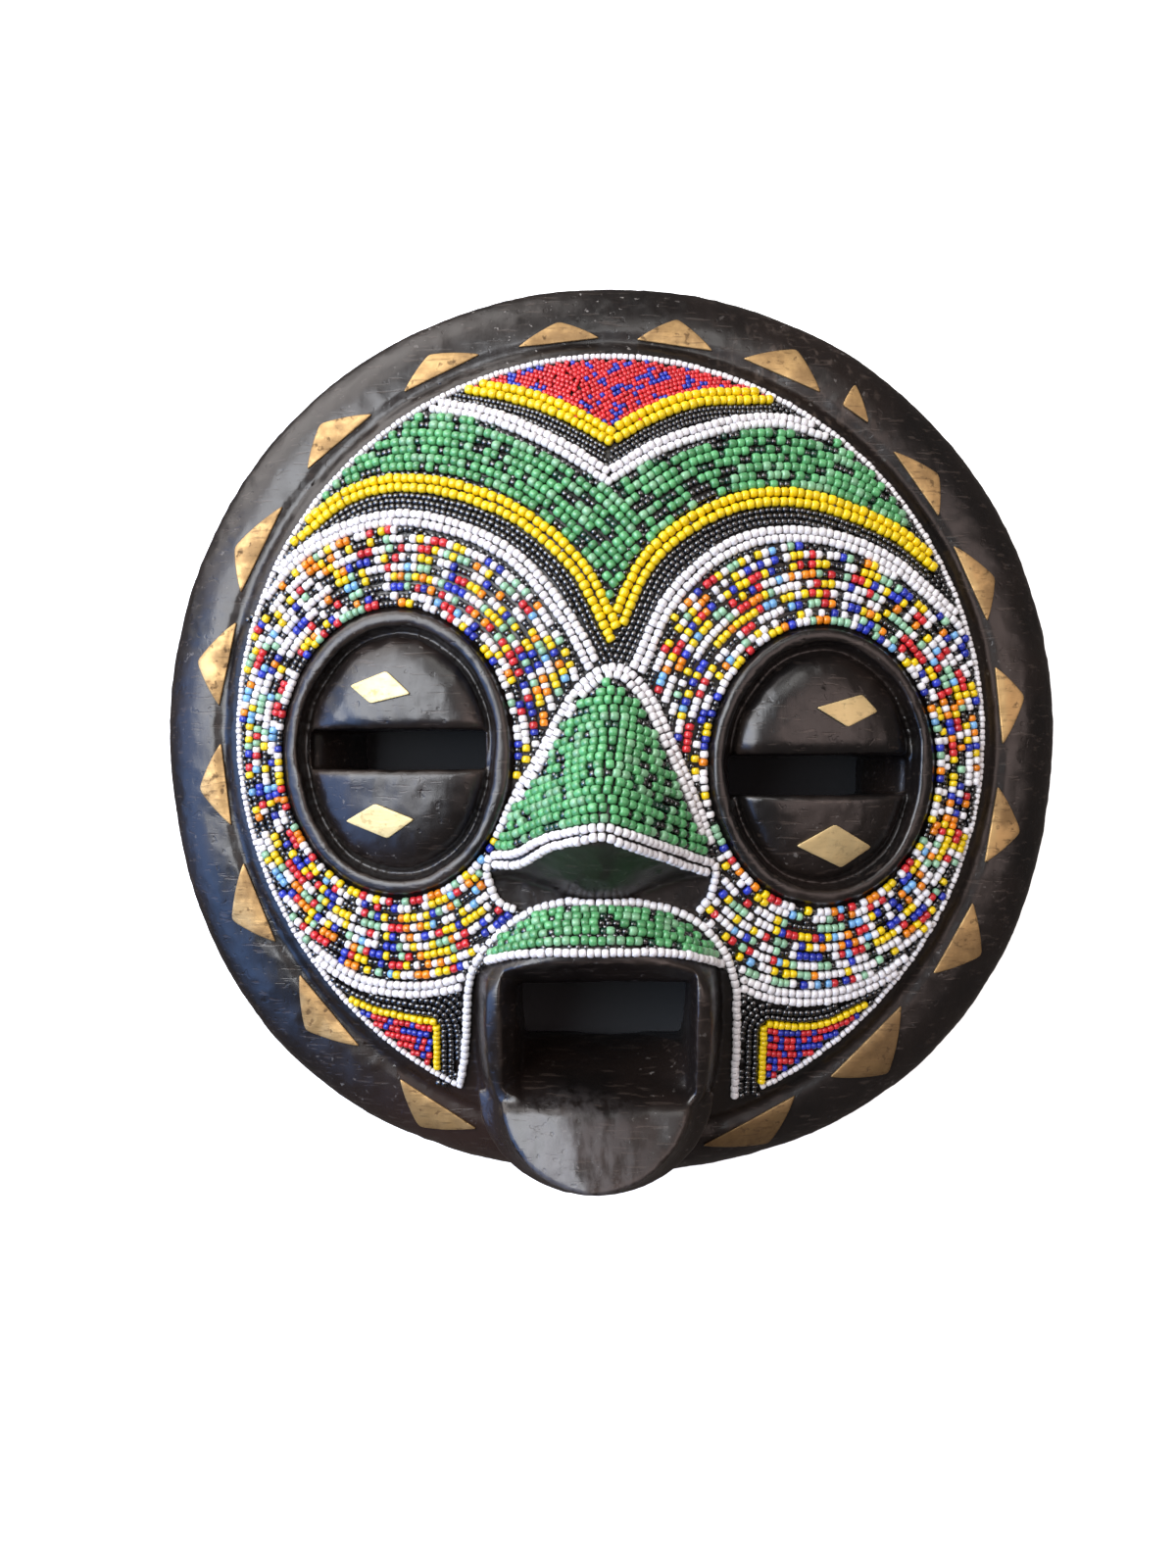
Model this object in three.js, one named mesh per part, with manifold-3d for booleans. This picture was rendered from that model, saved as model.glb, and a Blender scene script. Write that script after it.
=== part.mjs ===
// A round beaded face mask: carved dark wood with a hollow back, bands of glass beads and brass plates.
// Millimetres. The mask lies on its back: +Z is out of the face, +Y to the forehead, z = 0 is the back.

import * as THREE from 'three';
import { mergeVertices } from 'three/addons/utils/BufferGeometryUtils.js';
import Module from 'manifold-3d';

const wasm = await Module();
wasm.setup();

// Driving dimensions of the disc
const DISC_RADIUS = 152.5;
const DISC_BULGE = { upper: 1.0, lower: 5.0 };
const DISC_SEGMENTS = 48;
const EDGE_CHAMFER = 2.0;
const RIM = { ridge: 24.6, fall: 4.0, curl: 9.0, round: 5.0, roundFrom: 0.86 };
const GROOVE = { wall: 4.5, width: 8.0, z: 24.0 };
const FACE = { radius: 126.0, edge: 27.5, rise: 27.5, domePower: 3 };
const CHIN = { stretch: 7.0, power: 6 };
const BROW = { tuck: 1.8, angle: 0.96, power: 3 };

// Driving dimensions of the hollow back
const HOLLOW = { halfWidth: 86.0, halfLength: 106.0, depth: 36.0, segments: 26 };
const HOLLOW_CURVE = { wall: 5, roof: 0.55 };

// Driving dimensions of the eyes: x and y of the middle, half width a and half length b
const EYES = {
  left: { x: -70.0, y: -8.6, a: 38.2, b: 46.8, slotY: 1.0, inner: -41.0, outer: -99.0, through: -84.0 },
  right: { x: 68.3, y: -13.0, a: 37.8, b: 45.6, slotY: -2.8, inner: 37.5, outer: 97.5, through: 85.0 },
};
const EYE_RING = { height: 4.2, innerHeight: 3.6, width: 5.8, wall: 7.2, segments: 26 };
const LID = { at: 8.2, groove: 5.0, rise: 7.6, flat: 6.0, edge: 0.5 };
const SLOT = { half: 6.4, bevelDepth: 2.5, bevelWidth: 3.5, flare: 2.0, over: 14.0 };
const BLIND = { floor: 6.0, top: 5.0 };

// Driving dimensions of the nose
const NOSE = { top: 12.7, cap: 7.5, tip: -36.5, tipCurve: 12.0, undercut: 1.42, underReach: 24.0 };
const NOSE_AXIS = { x: 1.3, y: 16.0, lean: 4.8 / 52.0 };
const NOSE_WIDTH = { bridge: 10.0, flare: 0.6, taper: 0.0026 };
const NOSE_RISE = { bridge: 3.0, tip: 26.0, from: -4.0, run: 58.0, capRun: 9.0 };
const NOSE_SECTION = { ridge: 0.09, power: 1.35, foot: 0.92, footCurve: 1.25 };

// Driving dimensions of the muzzle: an arched upper lip and two jambs beside the mouth
const MUZZLE = { x: -4.7, y: -98.0, half: 40.5, below: 46.0, footPower: 2.8, flankTop: -75.0 };
const FLANK = { beside: 0.13, foot: 0.24, from: -118.0, run: 14.0 };
const UPPER_LIP = { top: -56.6, drop: 20.0, half: 40.0, power: 2.4, depth: 15.0 };
const MUZZLE_FRONT = { height: 69.0, sideFall: 8.0, lowerFall: 14.0, fallFrom: -85.0, fallRun: 45.0 };
const MOUTH = { left: -30.0, right: 24.5, top: -82.5, bottom: -105.0, end: -128.0, neck: 52.0 };
const MOUTH_FLARE = { left: 35.0, right: 12.5, top: 30.0, over: 50.0 };

// Driving dimensions of the lower lip, which scoops up and out between the jambs
const LIP = { x: -5.5, y: -118.0, half: 31.1, below: 30.6 };
const LIP_RAMP = { floor: 5.0, wall: 44.0, wallRun: 20.0, slope: 0.3 };
const LIP_SIDE = { height: 46.0, half: 31.1, clear: 1.0 };
const LIP_BODY = { beside: 1.24, below: 1.15, z: 44.0 };
const KEEL = { height: 5.5, half: 27.0, x: -14.2, y: -126.0, lean: -0.27 };

// Driving dimensions of the trim
const GAP = 0.3;
const BEAD = { large: 3.0, small: 2.1 };
const BRASS_THICKNESS = 0.9;

// Heights that lie well below, inside and above the carved face, for the ends of cutters and foots
const BELOW = -5.0;
const WITHIN = 10.0;
const ABOVE = 110.0;

const clamp = THREE.MathUtils.clamp;
const lerp = THREE.MathUtils.lerp;
const smooth = (t) => THREE.MathUtils.smoothstep(t, 0, 1);

// Solids

function solidOf(geometry) {
  geometry.deleteAttribute('normal');
  geometry.deleteAttribute('uv');
  const merged = mergeVertices(geometry, 1e-4);
  return new wasm.Manifold(new wasm.Mesh({
    numProp: 3,
    vertProperties: new Float32Array(merged.attributes.position.array),
    triVerts: new Uint32Array(merged.index.array),
  }));
}

function geometryOf(solid) {
  const mesh = solid.getMesh();
  const geometry = new THREE.BufferGeometry();
  geometry.setAttribute('position', new THREE.BufferAttribute(mesh.vertProperties, 3));
  geometry.setIndex(new THREE.BufferAttribute(mesh.triVerts, 1));
  geometry.computeVertexNormals();
  return geometry;
}

// Moves every vertex of a geometry to the place that a function gives it
function sculpt(geometry, place) {
  const position = geometry.attributes.position;
  const vertex = new THREE.Vector3();
  for (let i = 0; i < position.count; i += 1) {
    vertex.fromBufferAttribute(position, i);
    position.setXYZ(i, ...place(vertex.x, vertex.y, vertex.z));
  }
  return solidOf(geometry);
}

// A solid of revolution about Z, its stations [radius, height] then placed by angle and station
function turned(stations, segments, place) {
  const profile = stations.map(([radius, height]) => new THREE.Vector2(radius, height));
  const geometry = new THREE.LatheGeometry(profile, segments);
  geometry.rotateX(Math.PI / 2);
  return sculpt(geometry, (x, y, z) => {
    const station = Math.hypot(x, y);
    return place(station < 1e-6 ? 0 : Math.atan2(x, y), station, Math.round(z));
  });
}

// A box of columns and rows, given as fractions 0 to 1 across, along and up, then placed
function block(columns, rows, levels, place) {
  const geometry = new THREE.BoxGeometry(1, 1, 1, columns, rows, levels);
  return sculpt(geometry, (x, y, z) => place(x + 0.5, 0.5 - y, z + 0.5));
}

function prism(points, from, to) {
  const depth = to - from;
  const geometry = new THREE.ExtrudeGeometry(new THREE.Shape(points), { depth, bevelEnabled: false });
  return solidOf(geometry.translate(0, 0, from));
}

function union(solids) {
  return solids.reduce((whole, solid) => whole.add(solid));
}

// Form of the disc and the dome, as radii by angle from the top and heights by place

function discRadius(angle) {
  const bulge = Math.cos(angle) < 0 ? DISC_BULGE.lower : DISC_BULGE.upper;
  return DISC_RADIUS + bulge * Math.sin(2 * angle) ** 2;
}

function faceRadius(angle) {
  const chin = CHIN.stretch * ((1 - Math.cos(angle)) / 2) ** CHIN.power;
  const brow = BROW.tuck * Math.max(0, Math.cos(angle - BROW.angle)) ** BROW.power;
  return FACE.radius + chin - brow;
}

function faceHeight(x, y) {
  const rho = Math.min(1, Math.hypot(x, y) / faceRadius(Math.atan2(x, y)));
  return FACE.edge + FACE.rise * (1 - rho ** FACE.domePower);
}

function rimHeight(u) {
  const round = clamp((u - RIM.roundFrom) / (1 - RIM.roundFrom), 0, 1);
  return RIM.ridge - RIM.fall * u - RIM.curl * u ** 3 - RIM.round * round ** 2;
}

function plateHeight(x, y) {
  const angle = Math.atan2(x, y);
  const beyond = Math.hypot(x, y) - faceRadius(angle);
  if (beyond <= 0) return faceHeight(x, y);
  if (beyond < GROOVE.wall) return lerp(FACE.edge, GROOVE.z, smooth(beyond / GROOVE.wall));
  const rise = (beyond - GROOVE.wall) / (GROOVE.width - GROOVE.wall);
  if (rise < 1) return lerp(GROOVE.z, RIM.ridge, smooth(rise));
  const inner = faceRadius(angle) + GROOVE.width;
  return rimHeight(clamp((Math.hypot(x, y) - inner) / (discRadius(angle) - inner), 0, 1));
}

// Disc: stations 0 to 1 are the face, 1 to 2 the groove and 2 to 3 the rim
function makeDisc() {
  const top = 1;
  const edge = 0;
  const bottom = -1;
  const groove = 1 + GROOVE.wall / GROOVE.width;
  const topStations = [3, 2.88, 2.55, 2, groove, 1, 0.84, 0.5, 0];
  const stations = [[0, bottom], [2.9, bottom], [3, edge], ...topStations.map((s) => [s, top])];
  return turned(stations, DISC_SEGMENTS, (angle, station, level) => {
    const face = faceRadius(angle);
    const disc = discRadius(angle);
    let radius = face * station;
    if (station > 1) radius = face + GROOVE.width * (station - 1);
    if (station > 2) radius = lerp(face + GROOVE.width, disc, station - 2);
    if (station > 2.5 && level === bottom) radius = disc - EDGE_CHAMFER;
    const x = radius * Math.sin(angle);
    const y = radius * Math.cos(angle);
    const z = { [top]: plateHeight(x, y), [edge]: EDGE_CHAMFER, [bottom]: 0 }[level];
    return [x, y, z];
  });
}

function makeHollow() {
  const top = 1;
  const below = 0;
  const stations = [[0, below], [1.03, below], ...[1, 0.96, 0.82, 0.5, 0].map((e) => [e, top])];
  return turned(stations, HOLLOW.segments, (angle, e, level) => {
    const x = HOLLOW.halfWidth * e * Math.sin(angle);
    const y = HOLLOW.halfLength * e * Math.cos(angle);
    const roof = HOLLOW.depth * Math.max(0, 1 - e ** HOLLOW_CURVE.wall) ** HOLLOW_CURVE.roof;
    return [x, y, level === top ? roof : BELOW];
  });
}

// Eyes: a raised ring, a groove inside it and a domed lid, cut across by a slot

function eyeRadius(eye, angle, inset) {
  return 1 / Math.hypot(Math.sin(angle) / eye.a, Math.cos(angle) / eye.b) - inset;
}

function eyeOutline(eye, inset, count) {
  return Array.from({ length: count }, (_, i) => {
    const angle = (2 * Math.PI * i) / count;
    const radius = eyeRadius(eye, angle, inset);
    return new THREE.Vector2(eye.x + radius * Math.sin(angle), eye.y + radius * Math.cos(angle));
  });
}

function lidHeight(e) {
  return LID.rise * Math.max(0, 1 - e ** LID.flat) ** LID.edge - LID.groove;
}

// The ring's stations as inset from its outline and height over the face, the lid's as shares of its radius
const RING_STATIONS = [
  [-0.8, -2.4],
  [0.9, 2.6],
  [3.0, EYE_RING.height],
  [EYE_RING.width, EYE_RING.innerHeight],
  [EYE_RING.wall, -LID.groove],
];
const LID_STATIONS = [1, 0.85, 0.5, 0];

function makeEye(eye) {
  const ringStep = 0.2;
  const ring = RING_STATIONS.map((_, i) => [3 - i * ringStep, 1]);
  const stations = [[0, 0], [3, 0], ...ring, ...LID_STATIONS.map((e) => [e, 1])];
  const plug = turned(stations, EYE_RING.segments, (angle, station, level) => {
    const onRing = station > 1.5;
    const [inset, height] = onRing
      ? RING_STATIONS[Math.round((3 - station) / ringStep)]
      : [LID.at, lidHeight(station)];
    const radius = eyeRadius(eye, angle, inset) * (onRing ? 1 : station);
    const x = eye.x + radius * Math.sin(angle);
    const y = eye.y + radius * Math.cos(angle);
    return [x, y, level === 1 ? plateHeight(x, y) + height : WITHIN];
  });
  const well = prism(eyeOutline(eye, 1, EYE_RING.segments), WITHIN + 1, ABOVE);
  return { plug, well };
}

// The slot's floor is open up to eye.through and slopes up from there to its blind outer end
function makeSlot(eye) {
  const columns = 8;
  const side = Math.sign(eye.x);
  const middle = eye.y + eye.slotY;
  const grows = [0, 0, SLOT.bevelWidth, SLOT.bevelWidth + SLOT.flare];
  return block(columns, 1, 3, (across, along, up) => {
    const x = lerp(eye.inner, eye.outer, across);
    const e = Math.min(1, Math.abs(x - eye.x) / (eye.a - LID.at));
    const lid = plateHeight(x, middle) + lidHeight(e);
    const blind = clamp(((x - eye.through) * side) / Math.abs(eye.outer - eye.through), 0, 1);
    const floor = blind > 0 ? lerp(BLIND.floor, lid - BLIND.top, blind ** 0.8) : BELOW;
    const level = Math.round(up * 3);
    const z = [floor, lid - SLOT.bevelDepth, lid, lid + SLOT.over][level];
    const out = (along - 0.5) * 2 * side * -(SLOT.half + grows[level]);
    return [x, middle + out, z];
  });
}

// Nose: a ridge that widens and rises to its tip, and falls away underneath

function noseAxis(y) {
  return NOSE_AXIS.x + (y - NOSE_AXIS.y) * NOSE_AXIS.lean;
}

function noseHalfWidth(run) {
  if (run < 0) return NOSE_WIDTH.bridge * Math.sqrt(Math.max(0, 1 - (run / NOSE.cap) ** 2));
  return NOSE_WIDTH.bridge + NOSE_WIDTH.flare * run - NOSE_WIDTH.taper * run * run;
}

function noseRise(across, run) {
  const ridge = Math.hypot(across, NOSE_SECTION.ridge) - NOSE_SECTION.ridge;
  const straight = clamp(1 - ridge ** NOSE_SECTION.power / NOSE_SECTION.foot, 0, 1);
  const profile = straight ** NOSE_SECTION.footCurve;
  const grown = NOSE_RISE.bridge + NOSE_RISE.tip * smooth((run - NOSE_RISE.from) / NOSE_RISE.run) ** 0.9;
  return grown * smooth((run + NOSE.cap) / NOSE_RISE.capRun) * profile;
}

function makeNose() {
  const columns = 6;
  const rows = 7;
  const underRows = 2;
  const skirt = 1.5;
  return block(columns, rows, 1, (acrossFraction, alongFraction, up) => {
    const across = Math.sin((acrossFraction - 0.5) * Math.PI);
    const edge = NOSE.tip - NOSE.tipCurve * across ** 2;
    const row = alongFraction * rows;
    const down = Math.max(0, row - (rows - underRows)) / underRows;
    const shaft = Math.min(1, row / (rows - underRows));
    const yOnRidge = lerp(NOSE.top + NOSE.cap - 0.2, edge, shaft ** 1.15);
    const run = NOSE.top - yOnRidge;
    const x = noseAxis(yOnRidge) + noseHalfWidth(run) * across;
    const reach = down * NOSE.underReach;
    const foot = Math.abs(across) > 0.99 || row < 0.5 ? skirt : 0;
    const z = faceHeight(x, yOnRidge) + noseRise(across, run) - NOSE.undercut * reach - foot;
    return [x, yOnRidge - reach, up > 0.5 ? z : WITHIN];
  });
}

// Muzzle: an arched upper lip, two jambs and a lower lip that scoops out past the rim

function archAt(out) {
  return UPPER_LIP.top - UPPER_LIP.drop * out ** UPPER_LIP.power;
}

// The radius of a rounded outline with given half widths, towards a direction
function roundedRadius(sine, cosine, half, length, power) {
  return (Math.abs(sine / half) ** power + Math.abs(cosine / length) ** power) ** (-1 / power);
}

function muzzleOutline(angle) {
  const sine = Math.sin(angle);
  const cosine = Math.cos(angle);
  if (cosine < 0) return roundedRadius(sine, cosine, MUZZLE.half, MUZZLE.below, MUZZLE.footPower);
  const toSide = MUZZLE.half / Math.max(1e-6, Math.abs(sine));
  let toArch = (UPPER_LIP.top - MUZZLE.y) / Math.max(1e-6, cosine);
  for (let i = 0; i < 12; i += 1) {
    const out = Math.min(1, Math.abs(toArch * sine) / UPPER_LIP.half);
    toArch = lerp(toArch, (archAt(out) - MUZZLE.y) / Math.max(1e-6, cosine), 0.5);
  }
  return Math.min(toSide, toArch);
}

function frontFall(y) {
  return MUZZLE_FRONT.lowerFall * smooth((MUZZLE_FRONT.fallFrom - y) / MUZZLE_FRONT.fallRun);
}

function muzzleHeight(x, y, inset) {
  const out = Math.abs(x - MUZZLE.x) / UPPER_LIP.half;
  const lip = Math.sin((Math.PI / 2) * clamp((archAt(Math.min(1.2, out)) - y) / UPPER_LIP.depth, 0, 1));
  const run = lerp(FLANK.beside, FLANK.foot, smooth((FLANK.from - y) / FLANK.run));
  const flank = y < MUZZLE.flankTop ? smooth(inset / run) ** 0.8 : 1;
  const sideFall = MUZZLE_FRONT.sideFall * Math.min(1, out) ** 2.2;
  const base = plateHeight(x, y);
  return base + (MUZZLE_FRONT.height - sideFall - frontFall(y) - base) * lip * flank;
}

function makeMuzzle() {
  const skirt = 3;
  const rings = [1, 0.93, 0.84, 0.6, 0];
  const stations = [[0, 0], [1, 0], ...rings.map((m) => [m, 1])];
  return turned(stations, 32, (angle, m, level) => {
    const radius = muzzleOutline(angle) * m;
    const x = MUZZLE.x + radius * Math.sin(angle);
    const y = MUZZLE.y + radius * Math.cos(angle);
    if (level === 0) return [x, y, 1];
    return [x, y, m === 1 ? plateHeight(x, y) - skirt : muzzleHeight(x, y, 1 - m)];
  });
}

function lipHeight(x, y) {
  const run = Math.max(0, MOUTH.bottom - y);
  const rise = LIP_RAMP.wall * Math.sin((Math.PI / 2) * Math.min(1, run / LIP_RAMP.wallRun));
  const ramp = LIP_RAMP.floor + rise + LIP_RAMP.slope * run;
  const out = Math.abs(x - LIP.x) / LIP_SIDE.half;
  const side = Math.max(0, LIP_SIDE.height - ramp) * Math.min(1, out) ** 4;
  const beside = Math.abs(x - KEEL.x - (y - KEEL.y) * KEEL.lean) / KEEL.half;
  return ramp + side + KEEL.height * Math.max(0, 1 - beside);
}

function lipHalf(y) {
  return LIP.half * Math.sqrt(1 - clamp((LIP.y - y) / LIP.below, 0, 0.99) ** 2);
}

// The lower lip: an oval edge on a body that widens to the rim, and a floor up to the through hole
function makeLip() {
  const stations = [[0, 0], [1, 0], [1, 0.5], ...[1, 0.93, 0.6, 0.3, 0].map((m) => [m, 1])];
  return turned(stations, 28, (angle, m, level) => {
    const sine = Math.sin(angle);
    const cosine = Math.cos(angle);
    const toHole = (MOUTH.bottom - LIP.y) / Math.max(1e-6, cosine);
    const radius = m * Math.min(roundedRadius(sine, cosine, LIP.half, LIP.below, 2), toHole);
    const spread = level < 1 && cosine < 0 ? 1 : 0;
    const x = LIP.x + radius * sine * (1 + (LIP_BODY.beside - 1) * spread);
    const y = LIP.y + radius * cosine * (1 + (LIP_BODY.below - 1) * spread);
    return [x, y, [1, spread ? LIP_BODY.z : 2, lipHeight(x, y)][level * 2]];
  });
}

// The mouth between the jambs, flared at its front, and what is cut away over the lip where the jambs end
function makeMouthCut() {
  const floorFrom = MOUTH.bottom + 0.1;
  const rowsY = [MOUTH.top, floorFrom, ...[0, 2, 5, 9, 14].map((down) => MOUTH.bottom - down), MOUTH.end];
  const open = block(6, rowsY.length - 1, 2, (across, along, up) => {
    const row = Math.round(along * (rowsY.length - 1));
    const level = Math.round(up * 2);
    const flare = level === 2 ? 1 : 0;
    let x = lerp(MOUTH.left, MOUTH.right, across);
    let y = rowsY[row];
    const floor = row < 2 ? BELOW : lipHeight(x, y) - GAP;
    if (across < 0.01) x -= MOUTH_FLARE.left * flare;
    if (across > 0.99) x += MOUTH_FLARE.right * flare;
    if (row === 0) y += MOUTH_FLARE.top * flare;
    const neck = Math.max(floor + 1, MOUTH.neck - frontFall(y));
    return [x, y, [floor, neck, neck + MOUTH_FLARE.over][level]];
  });
  const scoop = block(10, 9, 1, (across, along, up) => {
    const y = lerp(MOUTH.end + 2, -DISC_RADIUS - WITHIN, along ** 1.3);
    const x = LIP.x + (lipHalf(y) + LIP_SIDE.clear) * (2 * across - 1);
    return [x, y, up > 0.5 ? ABOVE : lipHeight(x, y) - GAP];
  });
  return open.add(scoop);
}

// The carved wood

const carvedFace = makeDisc().add(makeNose()).add(makeMuzzle());
const eyes = Object.values(EYES).map(makeEye);
const woodFront = eyes.reduce((wood, eye) => wood.subtract(eye.well).add(eye.plug), carvedFace);
const cuts = union([makeHollow(), makeMouthCut(), ...Object.values(EYES).map(makeSlot)]);
const wood = woodFront.subtract(cuts).add(makeLip().subtract(makeHollow()));

// Pattern of the beads in plan: each line is a smooth curve through a few places [x, y]

// The edge strand's inset from the face's edge, and its ends in corners of the disc from the top
const EDGE_STRAND = { inset: 2.4, from: -21, to: 21 };

const LINES = {
  crownYellowLeft: [[-52, 114.5], [-29, 108.5], [-14, 102], [-0.5, 94]],
  crownYellowRight: [[-0.5, 94], [13, 102], [29, 108], [52, 110]],
  crownWhiteLeft: [[-60, 107], [-40, 102], [-19, 92], [-1.5, 80.5]],
  crownWhiteRight: [[-1.5, 80.5], [16, 91], [39, 99], [56, 101], [72, 97]],
  browYellowLeft: [[-108, 61], [-85, 77], [-62, 79], [-34, 70], [-12, 52], [0, 30]],
  browYellowRight: [[0, 30], [13, 55], [37, 71], [63, 74], [91, 65], [107, 54]],
  arcLeft: [[-121, 36], [-103, 57], [-79, 67], [-57, 66], [-33, 55], [-16, 36], [-5, 17]],
  arcRight: [[7.5, 17], [19, 41], [39, 58], [63, 62], [89, 55], [115, 35]],
  noseSideLeft: [[-37, -37], [-31, -25], [-23, -12], [-17, 0], [-9, 12], [1, 17]],
  noseSideRight: [[1, 17], [9.5, 9.5], [16.5, -5], [22.5, -19], [30, -38]],
  nostrilLeft: [[-39, -40], [-41, -49], [-38, -57], [-31, -60]],
  nostrilRight: [[31.5, -41], [32.5, -48], [31, -55], [27, -60]],
  noseTipLeft: [[-38, -44], [-32, -43.6], [-22.5, -39.4], [-9, -35.4], [-3, -34.6]],
  noseTipRight: [[-3, -34.6], [9.5, -38.5], [18, -41.6], [30.5, -46.2]],
  lipTopLeft: [[-46.5, -84], [-42, -75], [-33, -64.5], [-22, -58.5], [-5, -56]],
  lipTopRight: [[-5, -56], [12, -57.5], [26, -62], [36, -73], [40, -84]],
  mouthLeft: [[-46.5, -84], [-47.5, -97], [-48.5, -108], [-50.5, -119]],
  mouthRight: [[40, -84], [40.5, -100], [40.5, -122]],
  lipEdge: [[-40, -76], [-26, -72.5], [-5, -71.5], [17, -72.5], [34.5, -77]],
  cheekLeft: [[-101, -72], [-86, -82.5], [-73, -85.5], [-60, -85.5], [-46, -82]],
  cheekRight: [[40, -82.5], [52, -87], [63, -88.5], [75, -87.5], [86, -84], [101, -75]],
  angleLeft: [[-88, -89], [-79, -93], [-66, -95.5], [-57.5, -96.5]],
  postLeft: [[-57.5, -96.5], [-58, -118]],
  angleRight: [[49.5, -96.5], [58, -98], [70, -97.5], [84, -91.5]],
  postRight: [[49.5, -96.5], [49.5, -122]],
};

const CURVE_STEP = 13.0;

function line(name) {
  const curve = new THREE.SplineCurve(LINES[name].map(([x, y]) => new THREE.Vector2(x, y)));
  return curve.getSpacedPoints(Math.max(3, Math.round(curve.getLength() / CURVE_STEP)));
}

function lines(...names) {
  return names.flatMap(line);
}

function back(...names) {
  return names.flatMap(line).reverse();
}

function points(...places) {
  return places.map(([x, y]) => new THREE.Vector2(x, y));
}

// A prism that follows a line at a given width
function ribbon(middle, width) {
  const left = [];
  const right = [];
  middle.forEach((point, i) => {
    const before = middle[Math.max(0, i - 1)];
    const after = middle[Math.min(middle.length - 1, i + 1)];
    const ahead = after.clone().sub(before).setLength(width / 2);
    const across = ahead.rotateAround(new THREE.Vector2(), Math.PI / 2);
    left.push(point.clone().add(across));
    right.push(point.clone().sub(across));
  });
  return prism([...left, ...right.reverse()], 0, ABOVE);
}

// The plan of a strand, or of two side by side, along some lines: a function of how much wider it is cut
function strandAlong(...names) {
  return (wider) => union(names.map((name) => ribbon(line(name), BEAD.large + wider)));
}

function pairAlong(...names) {
  return (wider) => strandAlong(...names)(BEAD.large + wider);
}

function facePoint(angle, inset) {
  const radius = faceRadius(angle) - inset;
  return new THREE.Vector2(radius * Math.sin(angle), radius * Math.cos(angle));
}

// A prism between two radii round the face, with its corners at the disc's own corners
function edgeRing(inset, width) {
  const step = (2 * Math.PI) / DISC_SEGMENTS;
  const { from, to } = EDGE_STRAND;
  const angles = Array.from({ length: to - from + 1 }, (_, i) => (from + i) * step);
  const at = (offset) => angles.map((angle) => facePoint(angle, inset + offset));
  return prism([...at(-width / 2), ...at(width / 2).reverse()], 0, ABOVE);
}

function facePrism(inset) {
  const step = (2 * Math.PI) / DISC_SEGMENTS;
  return prism(Array.from({ length: DISC_SEGMENTS }, (_, i) => facePoint(i * step, inset)), 0, ABOVE);
}

// A layer a bead thick on the wood: the wood lifted by gap and bead, less the wood lifted by the gap
function layer(solid, thickness) {
  return solid.translate([0, 0, GAP + thickness]).subtract(solid.translate([0, 0, GAP]));
}

const COLOURS = {
  wood: { color: 0x2a2421, roughness: 0.45, metalness: 0 },
  brass: { color: 0xb98f55, roughness: 0.35, metalness: 1 },
  white: { color: 0xebe6e6, roughness: 0.25, metalness: 0 },
  yellow: { color: 0xf0cd14, roughness: 0.25, metalness: 0 },
  green: { color: 0x4fae70, roughness: 0.25, metalness: 0 },
  black: { color: 0x101014, roughness: 0.2, metalness: 0 },
  redBlue: { color: 0xc22c32, roughness: 0.25, metalness: 0 },
  mixed: { color: 0x8d8f80, roughness: 0.25, metalness: 0 },
};

// Outline bands come first: each keeps its whole width, and what comes after it is cut back by the gap
const EDGE_BAND = (wider) => edgeRing(EDGE_STRAND.inset, BEAD.small + wider);
const OUTLINES = [
  ['white_edge_strand', 'white', BEAD.small, EDGE_BAND],
  ['white_mouth_outline', 'white', BEAD.large,
    strandAlong('lipTopLeft', 'lipTopRight', 'mouthLeft', 'mouthRight')],
  ['white_nose_outline', 'white', BEAD.large, (wider) => (
    pairAlong('noseSideLeft', 'noseSideRight')(wider).add(strandAlong('nostrilLeft', 'nostrilRight')(wider))
  )],
  ['white_nose_tip_strands', 'white', BEAD.large, pairAlong('noseTipLeft', 'noseTipRight')],
  ['white_lip_edge_strand', 'white', BEAD.large, strandAlong('lipEdge')],
  ['white_eye_arc_left', 'white', BEAD.large, pairAlong('arcLeft')],
  ['white_eye_arc_right', 'white', BEAD.large, pairAlong('arcRight')],
  ['white_crown_chevron', 'white', BEAD.large, pairAlong('crownWhiteLeft', 'crownWhiteRight')],
  ['white_cheek_band_left', 'white', BEAD.large, pairAlong('cheekLeft')],
  ['white_cheek_band_right', 'white', BEAD.large, pairAlong('cheekRight')],
  ['yellow_crown_chevron', 'yellow', BEAD.large, pairAlong('crownYellowLeft', 'crownYellowRight')],
  ['yellow_brow_chevron', 'yellow', BEAD.large, pairAlong('browYellowLeft', 'browYellowRight')],
  ['yellow_cheek_angle_left', 'yellow', BEAD.large, strandAlong('angleLeft', 'postLeft')],
  ['yellow_cheek_angle_right', 'yellow', BEAD.large, strandAlong('angleRight', 'postRight')],
];

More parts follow.
